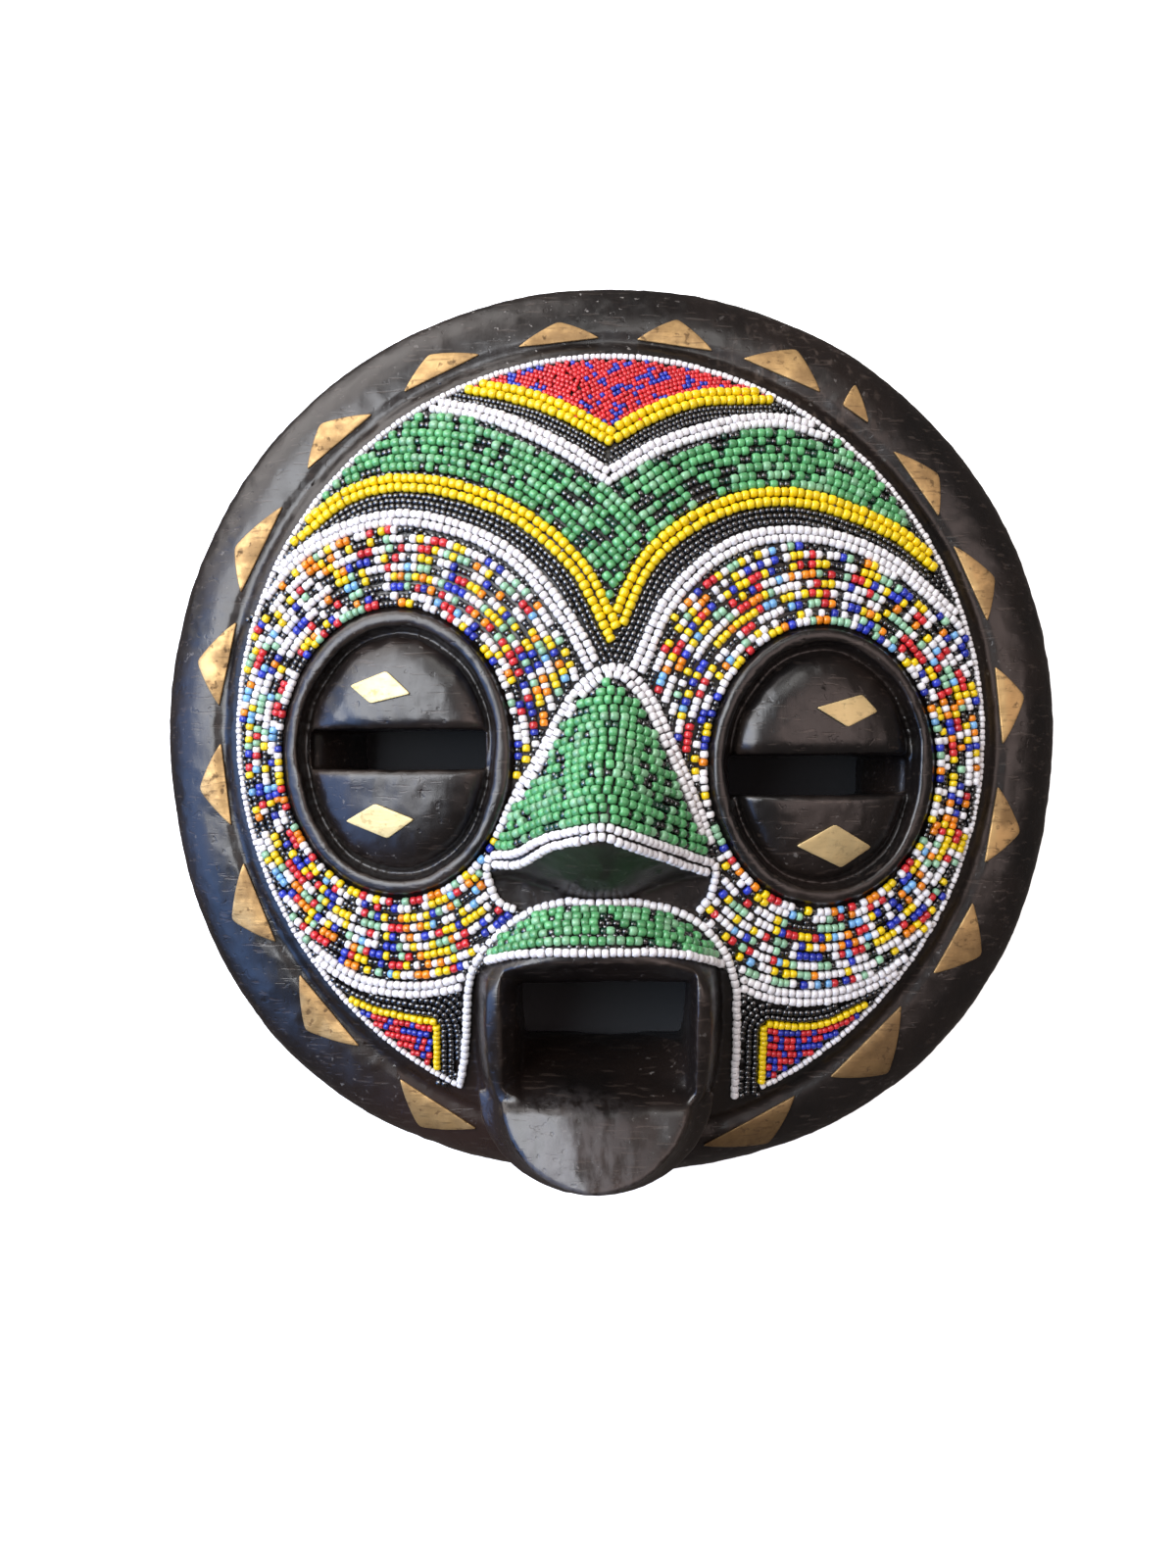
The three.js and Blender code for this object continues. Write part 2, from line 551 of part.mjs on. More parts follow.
// Each field fills the outline it is given, as far as the bands round it
const FIELDS = [
  ['red_blue_crown_field', 'redBlue', BEAD.small, [
    ...lines('crownYellowLeft', 'crownYellowRight'),
    ...points([75, 150], [-75, 150]),
  ]],
  ['black_crown_band', 'black', BEAD.small, [
    ...lines('crownYellowLeft', 'crownYellowRight'),
    ...back('crownWhiteLeft', 'crownWhiteRight'),
  ]],
  ['green_brow_field', 'green', BEAD.large, [
    ...lines('crownWhiteLeft', 'crownWhiteRight'),
    ...points([130, 90]),
    ...back('browYellowLeft', 'browYellowRight'),
    ...points([-130, 90]),
  ]],
  ['black_brow_band', 'black', BEAD.small, [
    ...lines('browYellowLeft', 'browYellowRight'),
    ...back('arcLeft', 'arcRight'),
  ]],
  ['mixed_eye_field_left', 'mixed', BEAD.large, [
    ...lines('arcLeft'),
    ...points([-9, 12], [-17, 0], [-31, -25]),
    ...lines('nostrilLeft'),
    ...points([-42, -75]),
    ...back('cheekLeft'),
    ...points([-160, -60], [-160, 36]),
  ]],
  ['mixed_eye_field_right', 'mixed', BEAD.large, [
    ...lines('arcRight'),
    ...points([160, 36], [160, -60]),
    ...back('cheekRight'),
    ...points([36, -73]),
    ...back('nostrilRight'),
    ...points([22.5, -19], [16.5, -5], [9.5, 9.5]),
  ]],
  ['green_nose_field', 'green', BEAD.large, [
    ...lines('noseSideLeft', 'noseSideRight'),
    ...back('noseTipLeft', 'noseTipRight'),
  ]],
  ['green_lip_field', 'green', BEAD.large, [
    ...lines('lipTopLeft', 'lipTopRight'),
    ...back('lipEdge'),
  ]],
  ['black_cheek_band_left', 'black', BEAD.small, [
    ...lines('cheekLeft', 'mouthLeft'),
    ...back('angleLeft', 'postLeft'),
  ]],
  ['black_cheek_band_right', 'black', BEAD.small, [
    ...lines('cheekRight'),
    ...back('angleRight'),
    ...lines('postRight'),
    ...back('mouthRight'),
  ]],
  ['red_blue_cheek_corner_left', 'redBlue', BEAD.small, [
    ...lines('angleLeft', 'postLeft'),
    ...points([-95, -118]),
  ]],
  ['red_blue_cheek_corner_right', 'redBlue', BEAD.small, [
    ...lines('angleRight'),
    ...points([95, -124]),
    ...back('postRight'),
  ]],
];

function largestPiece(solid) {
  return solid.decompose().reduce((best, piece) => (piece.volume() > best.volume() ? piece : best));
}

const beadLayers = new Map([BEAD.large, BEAD.small].map((size) => [size, layer(carvedFace, size)]));
const eyeZones = union(Object.values(EYES).map((eye) => {
  const footInset = RING_STATIONS[0][0];
  return prism(eyeOutline(eye, footInset - GAP, EYE_RING.segments), 0, ABOVE);
}));

const group = new THREE.Group();

function place(name, colour, solid) {
  const mesh = new THREE.Mesh(geometryOf(solid), new THREE.MeshStandardMaterial(COLOURS[colour]));
  mesh.name = name;
  group.add(mesh);
}

place('mask_body', 'wood', wood);

const inside = facePrism(EDGE_STRAND.inset + BEAD.small / 2 + GAP);
let taken = eyeZones;
OUTLINES.forEach(([name, colour, size, shape], i) => {
  const inPlan = i === 0 ? shape(0) : shape(0).intersect(inside);
  const solid = largestPiece(beadLayers.get(size).intersect(inPlan).subtract(taken));
  place(name, colour, solid);
  taken = taken.add(shape(2 * GAP));
});
FIELDS.forEach(([name, colour, size, outline]) => {
  const inPlan = prism(outline, 0, ABOVE).intersect(inside);
  place(name, colour, largestPiece(beadLayers.get(size).intersect(inPlan).subtract(taken)));
});

// Brass plates

// Rim triangles: two inner corners and the outer point, each as degrees from the top and radius
const RIM_TRIANGLES = [
  [[3.6, 130.9], [15.0, 131.3], [9.1, 139.8]],
  [[19.5, 131.9], [31.9, 132.9], [26.0, 142.5]],
  [[35.5, 133.5], [40.1, 134.2], [35.2, 142.6]],
  [[45.4, 132.8], [57.1, 131.0], [52.2, 139.7]],
  [[61.8, 130.2], [74.1, 131.2], [68.5, 138.9]],
  [[80.8, 130.5], [92.4, 131.4], [85.6, 139.6]],
  [[98.5, 131.2], [109.9, 133.2], [104.2, 142.4]],
  [[115.7, 134.7], [127.4, 135.8], [121.5, 146.7]],
  [[133.7, 134.7], [148.0, 138.2], [141.3, 149.7]],
  [[153.4, 137.9], [167.8, 143.7], [159.3, 150.4]],
  [[-161.4, 142.1], [-148.8, 137.6], [-154.2, 149.7]],
  [[-141.6, 136.4], [-128.2, 133.6], [-134.5, 145.0]],
  [[-122.5, 133.9], [-110.0, 131.7], [-116.7, 143.6]],
  [[-104.4, 132.0], [-92.1, 131.4], [-98.3, 140.5]],
  [[-86.8, 132.2], [-74.1, 131.1], [-80.8, 141.7]],
  [[-70.0, 132.8], [-55.9, 133.4], [-64.3, 141.2]],
  [[-49.7, 134.4], [-37.3, 132.8], [-43.7, 142.3]],
  [[-31.8, 132.9], [-19.4, 133.3], [-26.0, 140.4]],
  [[-13.9, 131.9], [-1.8, 131.3], [-7.4, 138.1]],
];

// Lid diamonds: the left, upper, right and lower corners [x, y]
const LID_DIAMONDS = {
  brass_diamond_left_upper: [[-85.1, 13.1], [-72.9, 17.7], [-64.9, 10.2], [-78.1, 7.2]],
  brass_diamond_left_lower: [[-86.8, -30.8], [-76.6, -25.0], [-63.8, -30.1], [-72.7, -36.3]],
  brass_diamond_right_upper: [[65.3, 5.8], [80.6, 10.2], [85.9, 4.8], [75.7, -0.4]],
  brass_diamond_right_lower: [[58.9, -38.6], [71.6, -31.7], [84.3, -39.2], [74.2, -45.9]],
};

function placeBrass(name, outline) {
  const cutter = prism(outline, 1, ABOVE);
  const sheet = wood.intersect(cutter).translate([0, 0, GAP + BRASS_THICKNESS]);
  place(name, 'brass', sheet.subtract(wood.translate([0, 0, GAP])));
}

RIM_TRIANGLES.forEach((corners, i) => {
  const outline = corners.map(([degrees, radius]) => {
    const angle = THREE.MathUtils.degToRad(degrees);
    return new THREE.Vector2(radius * Math.sin(angle), radius * Math.cos(angle));
  });
  placeBrass(`brass_rim_triangle_${String(i + 1).padStart(2, '0')}`, outline);
});

Object.entries(LID_DIAMONDS).forEach(([name, corners]) => {
  placeBrass(name, corners.map(([x, y]) => new THREE.Vector2(x, y)));
});

export default group;
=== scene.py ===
"""A round beaded face mask of dark carved wood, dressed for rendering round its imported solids.

The wood is carved again at a finer scale from the same named sizes, each band of beads is laid bead by
bead on that wood, and the brass plates are thin bent sheets. Lengths in the classes are in millimetres,
seen in plan: x to the right of the face, y to the forehead, z out of the face.
"""
import logging
import math
import random
from dataclasses import dataclass, field
from enum import Enum
from typing import Callable, Dict, List, Sequence, Tuple

import bpy
import numpy as np
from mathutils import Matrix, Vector, noise
from mathutils.bvhtree import BVHTree


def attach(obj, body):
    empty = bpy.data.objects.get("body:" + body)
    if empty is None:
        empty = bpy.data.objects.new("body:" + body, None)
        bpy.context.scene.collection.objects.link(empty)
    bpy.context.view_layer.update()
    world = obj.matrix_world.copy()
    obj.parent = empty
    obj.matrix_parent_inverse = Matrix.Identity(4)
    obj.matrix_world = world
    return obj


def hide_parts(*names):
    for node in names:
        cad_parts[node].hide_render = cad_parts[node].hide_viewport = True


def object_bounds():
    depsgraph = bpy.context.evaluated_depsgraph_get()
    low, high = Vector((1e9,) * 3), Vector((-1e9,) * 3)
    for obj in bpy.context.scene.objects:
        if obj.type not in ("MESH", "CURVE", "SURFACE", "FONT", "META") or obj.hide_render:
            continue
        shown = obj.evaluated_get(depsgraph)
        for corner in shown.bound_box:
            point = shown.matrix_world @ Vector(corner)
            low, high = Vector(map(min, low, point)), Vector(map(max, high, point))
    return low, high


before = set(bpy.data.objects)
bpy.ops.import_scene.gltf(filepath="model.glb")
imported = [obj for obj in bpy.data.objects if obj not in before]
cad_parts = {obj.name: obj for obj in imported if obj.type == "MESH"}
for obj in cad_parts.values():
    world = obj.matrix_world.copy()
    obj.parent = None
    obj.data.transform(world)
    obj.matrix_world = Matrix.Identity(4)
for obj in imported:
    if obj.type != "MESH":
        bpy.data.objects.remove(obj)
CAD_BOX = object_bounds()

MM = 0.001
BODY = "root"
Array = np.ndarray
Points = Tuple[Array, Array, Array]
Place = Callable[[Array, float, int], Points]
Spot = Tuple[float, float, float]
Corners = Tuple[Tuple[float, float], ...]
Colour = Spot
log = logging.getLogger("mask")


def smooth(t: Array) -> Array:
    """Eases from 0 to 1 as t goes from 0 to 1."""
    t = np.clip(t, 0.0, 1.0)
    return t * t * (3.0 - 2.0 * t)


def blend(a: Array, b: Array, t: Array) -> Array:
    """Goes straight from a to b as t goes from 0 to 1."""
    return a + (b - a) * t


def around(angle: Array, radius: Array, x: float = 0.0, y: float = 0.0) -> Tuple[Array, Array]:
    """Places at angles from the top and radii about a middle."""
    return x + radius * np.sin(angle), y + radius * np.cos(angle)


def put_in_scene(name: str, data: bpy.types.ID) -> bpy.types.Object:
    """A new object in the scene.

    Args:
        name: its name.
        data: its mesh, light or camera.

    Returns:
        The object.
    """
    holder = bpy.data.objects.new(name, data)
    bpy.context.scene.collection.objects.link(holder)
    return holder


def pieces_of_noise(points: Array, scale: float, octaves: int, seed: float) -> Array:
    """Smooth noise at points, the same on each run.

    Args:
        points: places in millimetres, one row each.
        scale: size of the largest lumps in millimetres.
        octaves: number of finer layers.
        seed: a shift that picks another pattern.

    Returns:
        One value for each point, about -1 to 1.
    """
    shift = Vector((seed, seed * 0.7, -seed))
    values = (noise.fractal(Vector(p) / scale + shift, 1.0, 2.0, octaves) for p in points.tolist())
    return np.fromiter(values, float, len(points))


class Solid:
    """A closed mesh being shaped: a Blender object in millimetres."""

    def __init__(self, name: str, vertices: Array, faces: Sequence[Sequence[int]]) -> None:
        """Makes the mesh from its vertices and faces, with the faces turned outwards.

        Args:
            name: its name.
            vertices: the points, one row each.
            faces: point numbers, face by face.
        """
        mesh = bpy.data.meshes.new(name)
        mesh.from_pydata(vertices.tolist(), [], [list(f) for f in faces])
        mesh.update()
        self.object = put_in_scene(name, mesh)
        if self.volume() < 0:
            mesh.flip_normals()

    def volume(self) -> float:
        """The volume by the divergence rule, negative if the faces point in.

        Returns:
            Cubic millimetres.
        """
        mesh = self.object.data
        mesh.calc_loop_triangles()
        corners = np.zeros(len(mesh.loop_triangles) * 3, int)
        mesh.loop_triangles.foreach_get("vertices", corners)
        a, b, c = self.read("co")[corners.reshape(-1, 3)].transpose(1, 0, 2)
        return float(np.einsum("ij,ij->", a, np.cross(b, c)) / 6.0)

    def read(self, kind: str) -> Array:
        """The vertices' places or normals.

        Args:
            kind: co or normal.

        Returns:
            One row for each vertex.
        """
        flat = np.zeros(len(self.object.data.vertices) * 3, np.float32)
        self.object.data.vertices.foreach_get(kind, flat)
        return flat.reshape(-1, 3).astype(float)

    def move_points(self, points: Array) -> None:
        """Puts the vertices at new places."""
        self.object.data.vertices.foreach_set("co", points.astype(np.float32).ravel())
        self.object.data.update()

    def modify(self, kind: str, **settings: object) -> "Solid":
        """Applies one modifier.

        Args:
            kind: the modifier's type.
            settings: its properties by name.

        Returns:
            This solid.
        """
        modifier = self.object.modifiers.new(kind, kind)
        for key, value in settings.items():
            setattr(modifier, key, value)
        graph = bpy.context.evaluated_depsgraph_get()
        shaped = bpy.data.meshes.new_from_object(self.object.evaluated_get(graph), depsgraph=graph)
        self.object.modifiers.clear()
        old = self.object.data
        self.object.data = shaped
        bpy.data.meshes.remove(old)
        return self

    def combine(self, other: "Solid", operation: str) -> "Solid":
        """Joins or cuts with another solid, which is used up.

        Args:
            other: the second solid.
            operation: UNION or DIFFERENCE.

        Returns:
            This solid.
        """
        self.modify("BOOLEAN", object=other.object, operation=operation, solver="MANIFOLD")
        bpy.data.objects.remove(other.object)
        return self


def turned(name: str, stations: Sequence[Tuple[float, int]], segments: int, place: Place) -> Solid:
    """A solid of rings about the vertical, each ring placed by angle and station.

    Args:
        name: the solid's name.
        stations: a station and a level for each ring; station 0 is a single point.
        segments: points in each ring.
        place: gives x, y and z for angles from the top, a station and a level.

    Returns:
        The solid.
    """
    angles = np.arange(segments) * 2.0 * math.pi / segments
    vertices, rings = [], []
    for station, level in stations:
        at = angles[:1] if station == 0 else angles
        x, y, z = (np.broadcast_to(v, at.shape) for v in place(at, station, level))
        rings.append(np.arange(len(at)) + sum(len(v) for v in vertices))
        vertices.append(np.stack([x, y, z], axis=1))
    faces = []
    for low, high in zip(rings, rings[1:]):
        for i in range(segments):
            j = (i + 1) % segments
            corners = [low[i % len(low)], low[j % len(low)], high[j % len(high)], high[i % len(high)]]
            faces.append(list(dict.fromkeys(corners)))
    return Solid(name, np.concatenate(vertices), faces)


def block(name: str, shape: Tuple[int, int, int], place: Callable[..., Points]) -> Solid:
    """A box of cells whose outer points are placed by their fractions across, along and up.

    Args:
        name: the solid's name.
        shape: cells across, along and up.
        place: gives x, y and z for three arrays of fractions.

    Returns:
        The solid.
    """
    axes = [np.linspace(0.0, 1.0, n + 1) for n in shape]
    grid = np.meshgrid(*axes, indexing="ij")
    points = np.stack(np.broadcast_arrays(*place(*grid)), axis=-1)
    index = np.arange(grid[0].size).reshape(grid[0].shape)
    quads = []
    for axis in range(3):
        for end in (0, -1):
            side = np.take(index, end, axis=axis)
            quads.append(np.stack([side[:-1, :-1], side[1:, :-1], side[1:, 1:], side[:-1, 1:]], -1)
                         [:, :, :: 1 if (end == 0) == (axis == 1) else -1].reshape(-1, 4))
    faces = np.concatenate(quads)
    used, faces = np.unique(faces, return_inverse=True)
    return Solid(name, points.reshape(-1, 3)[used], faces.reshape(-1, 4))


@dataclass
class Disc:
    """The round plate: a domed face, a groove round it and a convex rim."""

    radius: float = 152.5
    upper_bulge: float = 1.0
    lower_bulge: float = 5.0
    edge_chamfer: float = 2.0
    ridge: float = 24.6
    rim_fall: float = 4.0
    rim_curl: float = 9.0
    rim_round: float = 5.0
    round_from: float = 0.86
    groove_wall: float = 4.5
    groove_width: float = 8.0
    groove_z: float = 24.0
    face: float = 126.0
    chin_stretch: float = 7.0
    brow_tuck: float = 1.8
    brow_tuck_angle: float = 0.96
    face_edge: float = 27.5
    face_rise: float = 27.5
    uneven: float = 0.5

    def disc_radius(self, angle: Array) -> Array:
        """The outer edge's radius, by angle from the top."""
        bulge = np.where(np.cos(angle) < 0, self.lower_bulge, self.upper_bulge)
        return self.radius + bulge * np.sin(2 * angle) ** 2

    def face_radius(self, angle: Array) -> Array:
        """The domed face's radius, by angle from the top.

        Args:
            angle: angles from the top.

        Returns:
            The radii.
        """
        chin = self.chin_stretch * ((1 - np.cos(angle)) / 2) ** 6
        brow = self.brow_tuck * np.maximum(0, np.cos(angle - self.brow_tuck_angle)) ** 3
        return self.face + chin - brow

    def face_height(self, x: Array, y: Array) -> Array:
        """The dome's height in plan."""
        rho = np.minimum(1, np.hypot(x, y) / self.face_radius(np.arctan2(x, y)))
        return self.face_edge + self.face_rise * (1 - rho ** 3)

    def height(self, x: Array, y: Array) -> Array:
        """The plate's height in plan, with its groove and rim.

        Args:
            x: across, in plan.
            y: up the face, in plan.

        Returns:
            The heights.
        """
        angle, radius = np.arctan2(x, y), np.hypot(x, y)
        beyond = radius - self.face_radius(angle)
        wall = blend(self.face_edge, self.groove_z, smooth(beyond / self.groove_wall))
        rise = (beyond - self.groove_wall) / (self.groove_width - self.groove_wall)
        bank = blend(self.groove_z, self.ridge, smooth(rise))
        inner = self.face_radius(angle) + self.groove_width
        u = np.clip((radius - inner) / (self.disc_radius(angle) - inner), 0, 1)
        turn = np.clip((u - self.round_from) / (1 - self.round_from), 0, 1)
        rim = self.ridge - self.rim_fall * u - self.rim_curl * u ** 3 - self.rim_round * turn ** 2
        outer = np.where(beyond < self.groove_wall, wall, np.where(rise < 1, bank, rim))
        return np.where(beyond <= 0, self.face_height(x, y), outer)

    def solid(self) -> Solid:
        """The plate as a solid, with stations 0 to 1 the face, 1 to 2 the groove and 2 to 3 the rim.

        Returns:
            The plate.
        """
        rim = [3 - 0.008 * i * i for i in range(11)]
        groove = list(np.linspace(2, 1, 13))[:-1]
        face = list(np.linspace(1, 0, 26))
        stations = [(0, -2), (2.9, -2), (3, -1), (3, 0)] + [(s, 1) for s in rim + groove + face]

        def place(angle: Array, station: float, level: int) -> Points:
            """Places a ring of the plate.

            Args:
                angle: angles from the top.
                station: how far out the ring is.
                level: -2 to 0 for the back and side, 1 for the front.

            Returns:
                x, y and z.
            """
            waves = np.sin(3 * angle + 0.6) + 0.6 * np.sin(7 * angle + 2.0) + 0.4 * np.sin(13 * angle)
            face_r, disc_r = self.face_radius(angle), self.disc_radius(angle) - self.uneven * (waves + 1.2)
            radius = face_r * station
            if station > 1:
                radius = face_r + self.groove_width * (station - 1)
            if station > 2:
                radius = blend(face_r + self.groove_width, disc_r, station - 2)
            if level == -2 and station > 1:
                radius = disc_r - self.edge_chamfer
            x, y = around(angle, radius)
            z = {-2: 0 * x, -1: 0 * x + self.edge_chamfer, 0: 0 * x + 5.0}.get(level, self.height(x, y))
            return x, y, z

        return turned("disc", stations, 360, place)


@dataclass
class Hollow:
    """The hollow in the back."""

    half_width: float = 86.0
    half_length: float = 106.0
    depth: float = 36.0

    def solid(self) -> Solid:
        """The hollow as a cutter that starts below the back.

        Returns:
            The cutter.
        """
        rings = 1 - np.linspace(0, 1, 22) ** 1.6
        stations = [(0, 0), (1.02, 0)] + [(float(e), 1) for e in rings]

        def place(angle: Array, e: float, level: int) -> Points:
            """Places a ring of the hollow.

            Args:
                angle: angles from the top.
                e: the ring's share of the hollow's size.
                level: 0 for the foot, 1 for the surface.

            Returns:
                x, y and z.
            """
            z = self.depth * max(0.0, 1 - e ** 5) ** 0.55 if level else -5.0
            return self.half_width * e * np.sin(angle), self.half_length * e * np.cos(angle), z + 0 * angle

        return turned("hollow", stations, 160, place)


@dataclass
class Eye:
    """A raised ring with a groove inside it and a domed lid, cut across by a slot."""

    x: float
    y: float
    a: float
    b: float
    slot_y: float
    inner: float
    outer: float
    through: float
    ring_height: float = 4.2
    ring_width: float = 5.8
    ring_wall: float = 7.2
    ring_uneven: float = 0.28
    lid_at: float = 8.2
    lid_groove: float = 5.0
    lid_rise: float = 7.6
    slot_half: float = 6.4
    bevel_depth: float = 2.5
    bevel_width: float = 3.5
    blind_floor: float = 6.0

    def radius(self, angle: Array, inset: float = 0.0) -> Array:
        """The outline's radius about the eye's middle, less an inset."""
        return 1 / np.hypot(np.sin(angle) / self.a, np.cos(angle) / self.b) - inset

    def outline(self, inset: float, count: int) -> Array:
        """Points round the eye, inset from its outline.

        Args:
            inset: how far in.
            count: how many points.

        Returns:
            The points.
        """
        angle = np.arange(count) * 2 * math.pi / count
        return np.stack(around(angle, self.radius(angle, inset), self.x, self.y), axis=1)

    def ring_profile(self, inset: float) -> float:
        """The ring's height over the face at an inset from the outline.

        Args:
            inset: the distance in from the outline.

        Returns:
            The height.
        """
        rise = float(smooth((inset + 0.4) / 1.9))
        crown = self.ring_height * (1 - 0.2 * ((inset - 3.0) / 2.8) ** 2)
        start = self.ring_width - 0.6
        drop = float(smooth((inset - start) / (self.ring_wall - start)))
        return rise * crown * (1 - drop) - self.lid_groove * drop

    def lid_height(self, e: Array) -> Array:
        """The lid's height over the face at a share of its radius."""
        return self.lid_rise * np.maximum(0.0, 1 - e ** 6) ** 0.5 - self.lid_groove

    def plug(self, disc: Disc) -> Solid:
        """The ring and lid as a solid that fills the well.

        Args:
            disc: the plate under it.

        Returns:
            The plug.
        """
        ring = [(3 - 0.05 * i, 1) for i in range(27)]
        lid = [(float(e), 1) for e in np.linspace(1, 0, 22) ** 0.75]

        def place(angle: Array, station: float, level: int) -> Points:
            """Places a ring of the plug.

            Args:
                angle: angles from the top.
                station: how far out the ring is.
                level: 0 for the foot, 1 for the surface.

            Returns:
                x, y and z.
            """
            on_ring = station > 1.2
            step = (3 - station) / 1.3
            inset = blend(-0.9, self.lid_at, step) if on_ring else self.lid_at
            waves = np.sin(3 * angle + self.x) + 0.8 * np.sin(5 * angle + 2.0) + 0.5 * np.sin(11 * angle)
            uneven = self.ring_uneven * waves * float(smooth((inset - 1) / 4))
            radius = (self.radius(angle, inset) + uneven) * (1 if on_ring else station)
            x, y = around(angle, radius, self.x, self.y)
            if level == 0:
                return x, y, 0 * x + 10
            height = self.ring_profile(inset) if on_ring else self.lid_height(station)
            return x, y, disc.height(x, y) + (height if step > 0 or not on_ring else -2.4)

        return turned("eye", [(0, 0), (3, 0)] + ring + lid, 160, place)

    def well(self) -> Solid:
        """The well that the plug fills.

        Returns:
            The cutter.
        """

        def place(angle: Array, station: float, level: int) -> Points:
            """Places a ring of the well.

            Args:
                angle: angles from the top.
                station: how far out the ring is.
                level: its height.

            Returns:
                x, y and z.
            """
            return *around(angle, self.radius(angle, 1.0) * station, self.x, self.y), angle * 0 + level

        return turned("well", [(0, 11), (1, 11), (1, 100), (0, 100)], 160, place)

    def slot(self, disc: Disc) -> Solid:
        """The slot across the lid, with rounded lips and a blind outer end.

        Args:
            disc: the plate under the lid.

        Returns:
            The cutter.
        """
        side = math.copysign(1.0, self.x)
        middle = self.y + self.slot_y
        depths = [2.5, 1.6, 0.8, 0.2, -0.3, -14.0]
        grows = [0.0, 0.25, 0.9, 2.1, 4.2, 8.0]

        def place(across: Array, along: Array, up: Array) -> Points:
            """Places the slot's points.

            Args:
                across: fractions across.
                along: fractions along.
                up: fractions up.

            Returns:
                x, y and z.
            """
            x = blend(self.inner, self.outer, across)
            lid = disc.height(x, 0 * x + middle)
            lid += self.lid_height(np.minimum(1, np.abs(x - self.x) / (self.a - self.lid_at)))
            run = np.clip((x - self.through) * side / abs(self.outer - self.through), 0, 1)
            floor = np.where(run > 0, blend(self.blind_floor, lid - 5, run ** 0.8), -5)
            level = np.rint(up * len(depths)).astype(int)
            z = np.where(level == 0, floor, lid - np.array([0] + depths)[level])
            y = middle + (along - 0.5) * 2 * (self.slot_half + np.array([0] + grows)[level])
            return x, y, z

        return block("slot", (48, 1, len(depths)), place)


@dataclass
class Nose:
    """A ridge that widens and rises to its tip, and falls away underneath."""

    top: float = 12.7
    cap: float = 7.5
    tip: float = -36.5
    tip_curve: float = 12.0
    width: float = 10.0
    height: float = 26.0
    undercut: float = 1.42
    under_reach: float = 24.0
    flare: float = 0.6
    taper: float = 0.0026
    bridge: float = 3.0
    rise_from: float = -4.0
    rise_run: float = 58.0
    cap_run: float = 9.0
    ridge_power: float = 1.35
    foot: float = 0.92
    foot_curve: float = 1.25
    axis_x: float = 1.3
    axis_y: float = 16.0
    lean: float = 4.8 / 52.0

    def half_width(self, run: Array) -> Array:
        """Half the nose's width at a distance below its top."""
        cap = self.width * np.sqrt(np.maximum(0, 1 - (run / self.cap) ** 2))
        return np.where(run < 0, cap, self.width + self.flare * run - self.taper * run * run)

    def rise(self, across: Array, run: Array) -> Array:
        """The nose's height over the face.

        Args:
            across: -1 to 1 from side to side.
            run: the distance below the top.

        Returns:
            The rise.
        """
        ridge = np.sqrt(across * across + 0.008) - 0.0894
        profile = np.clip(1 - ridge ** self.ridge_power / self.foot, 0, 1) ** self.foot_curve
        grown = self.bridge + self.height * smooth((run - self.rise_from) / self.rise_run) ** 0.9
        return grown * smooth((run + self.cap) / self.cap_run) * profile

    def solid(self, disc: Disc) -> Solid:
        """The nose as a solid that stands in the disc.

        Args:
            disc: the plate under it.

        Returns:
            The nose.
        """
        under_rows, rows, reach = 14, 70, self.under_reach

        def place(across: Array, along: Array, up: Array) -> Points:
            """Places the nose's points.

            Args:
                across: fractions across.
                along: fractions along.
                up: fractions up.

            Returns:
                x, y and z.
            """
            side = np.sin((across - 0.5) * math.pi)
            edge = self.tip - self.tip_curve * side ** 2
            row = along * rows
            down = np.maximum(0, row - (rows - under_rows)) / under_rows
            shaft = np.minimum(1, row / (rows - under_rows))
            ridge_y = blend(self.top + self.cap - 0.2, edge, shaft ** 1.15)
            run = self.top - ridge_y
            axis = self.axis_x + (ridge_y - self.axis_y) * self.lean
            x = axis + self.half_width(run) * side
            foot = np.where((np.abs(side) > 0.999) | (row < 0.5), 1.5, 0.0)
            z = disc.face_height(x, ridge_y) + self.rise(side, run) - self.undercut * down * reach - foot
            return x, ridge_y - down * reach, np.where(up > 0.5, z, 8.0)

        return block("nose", (56, rows, 1), place)


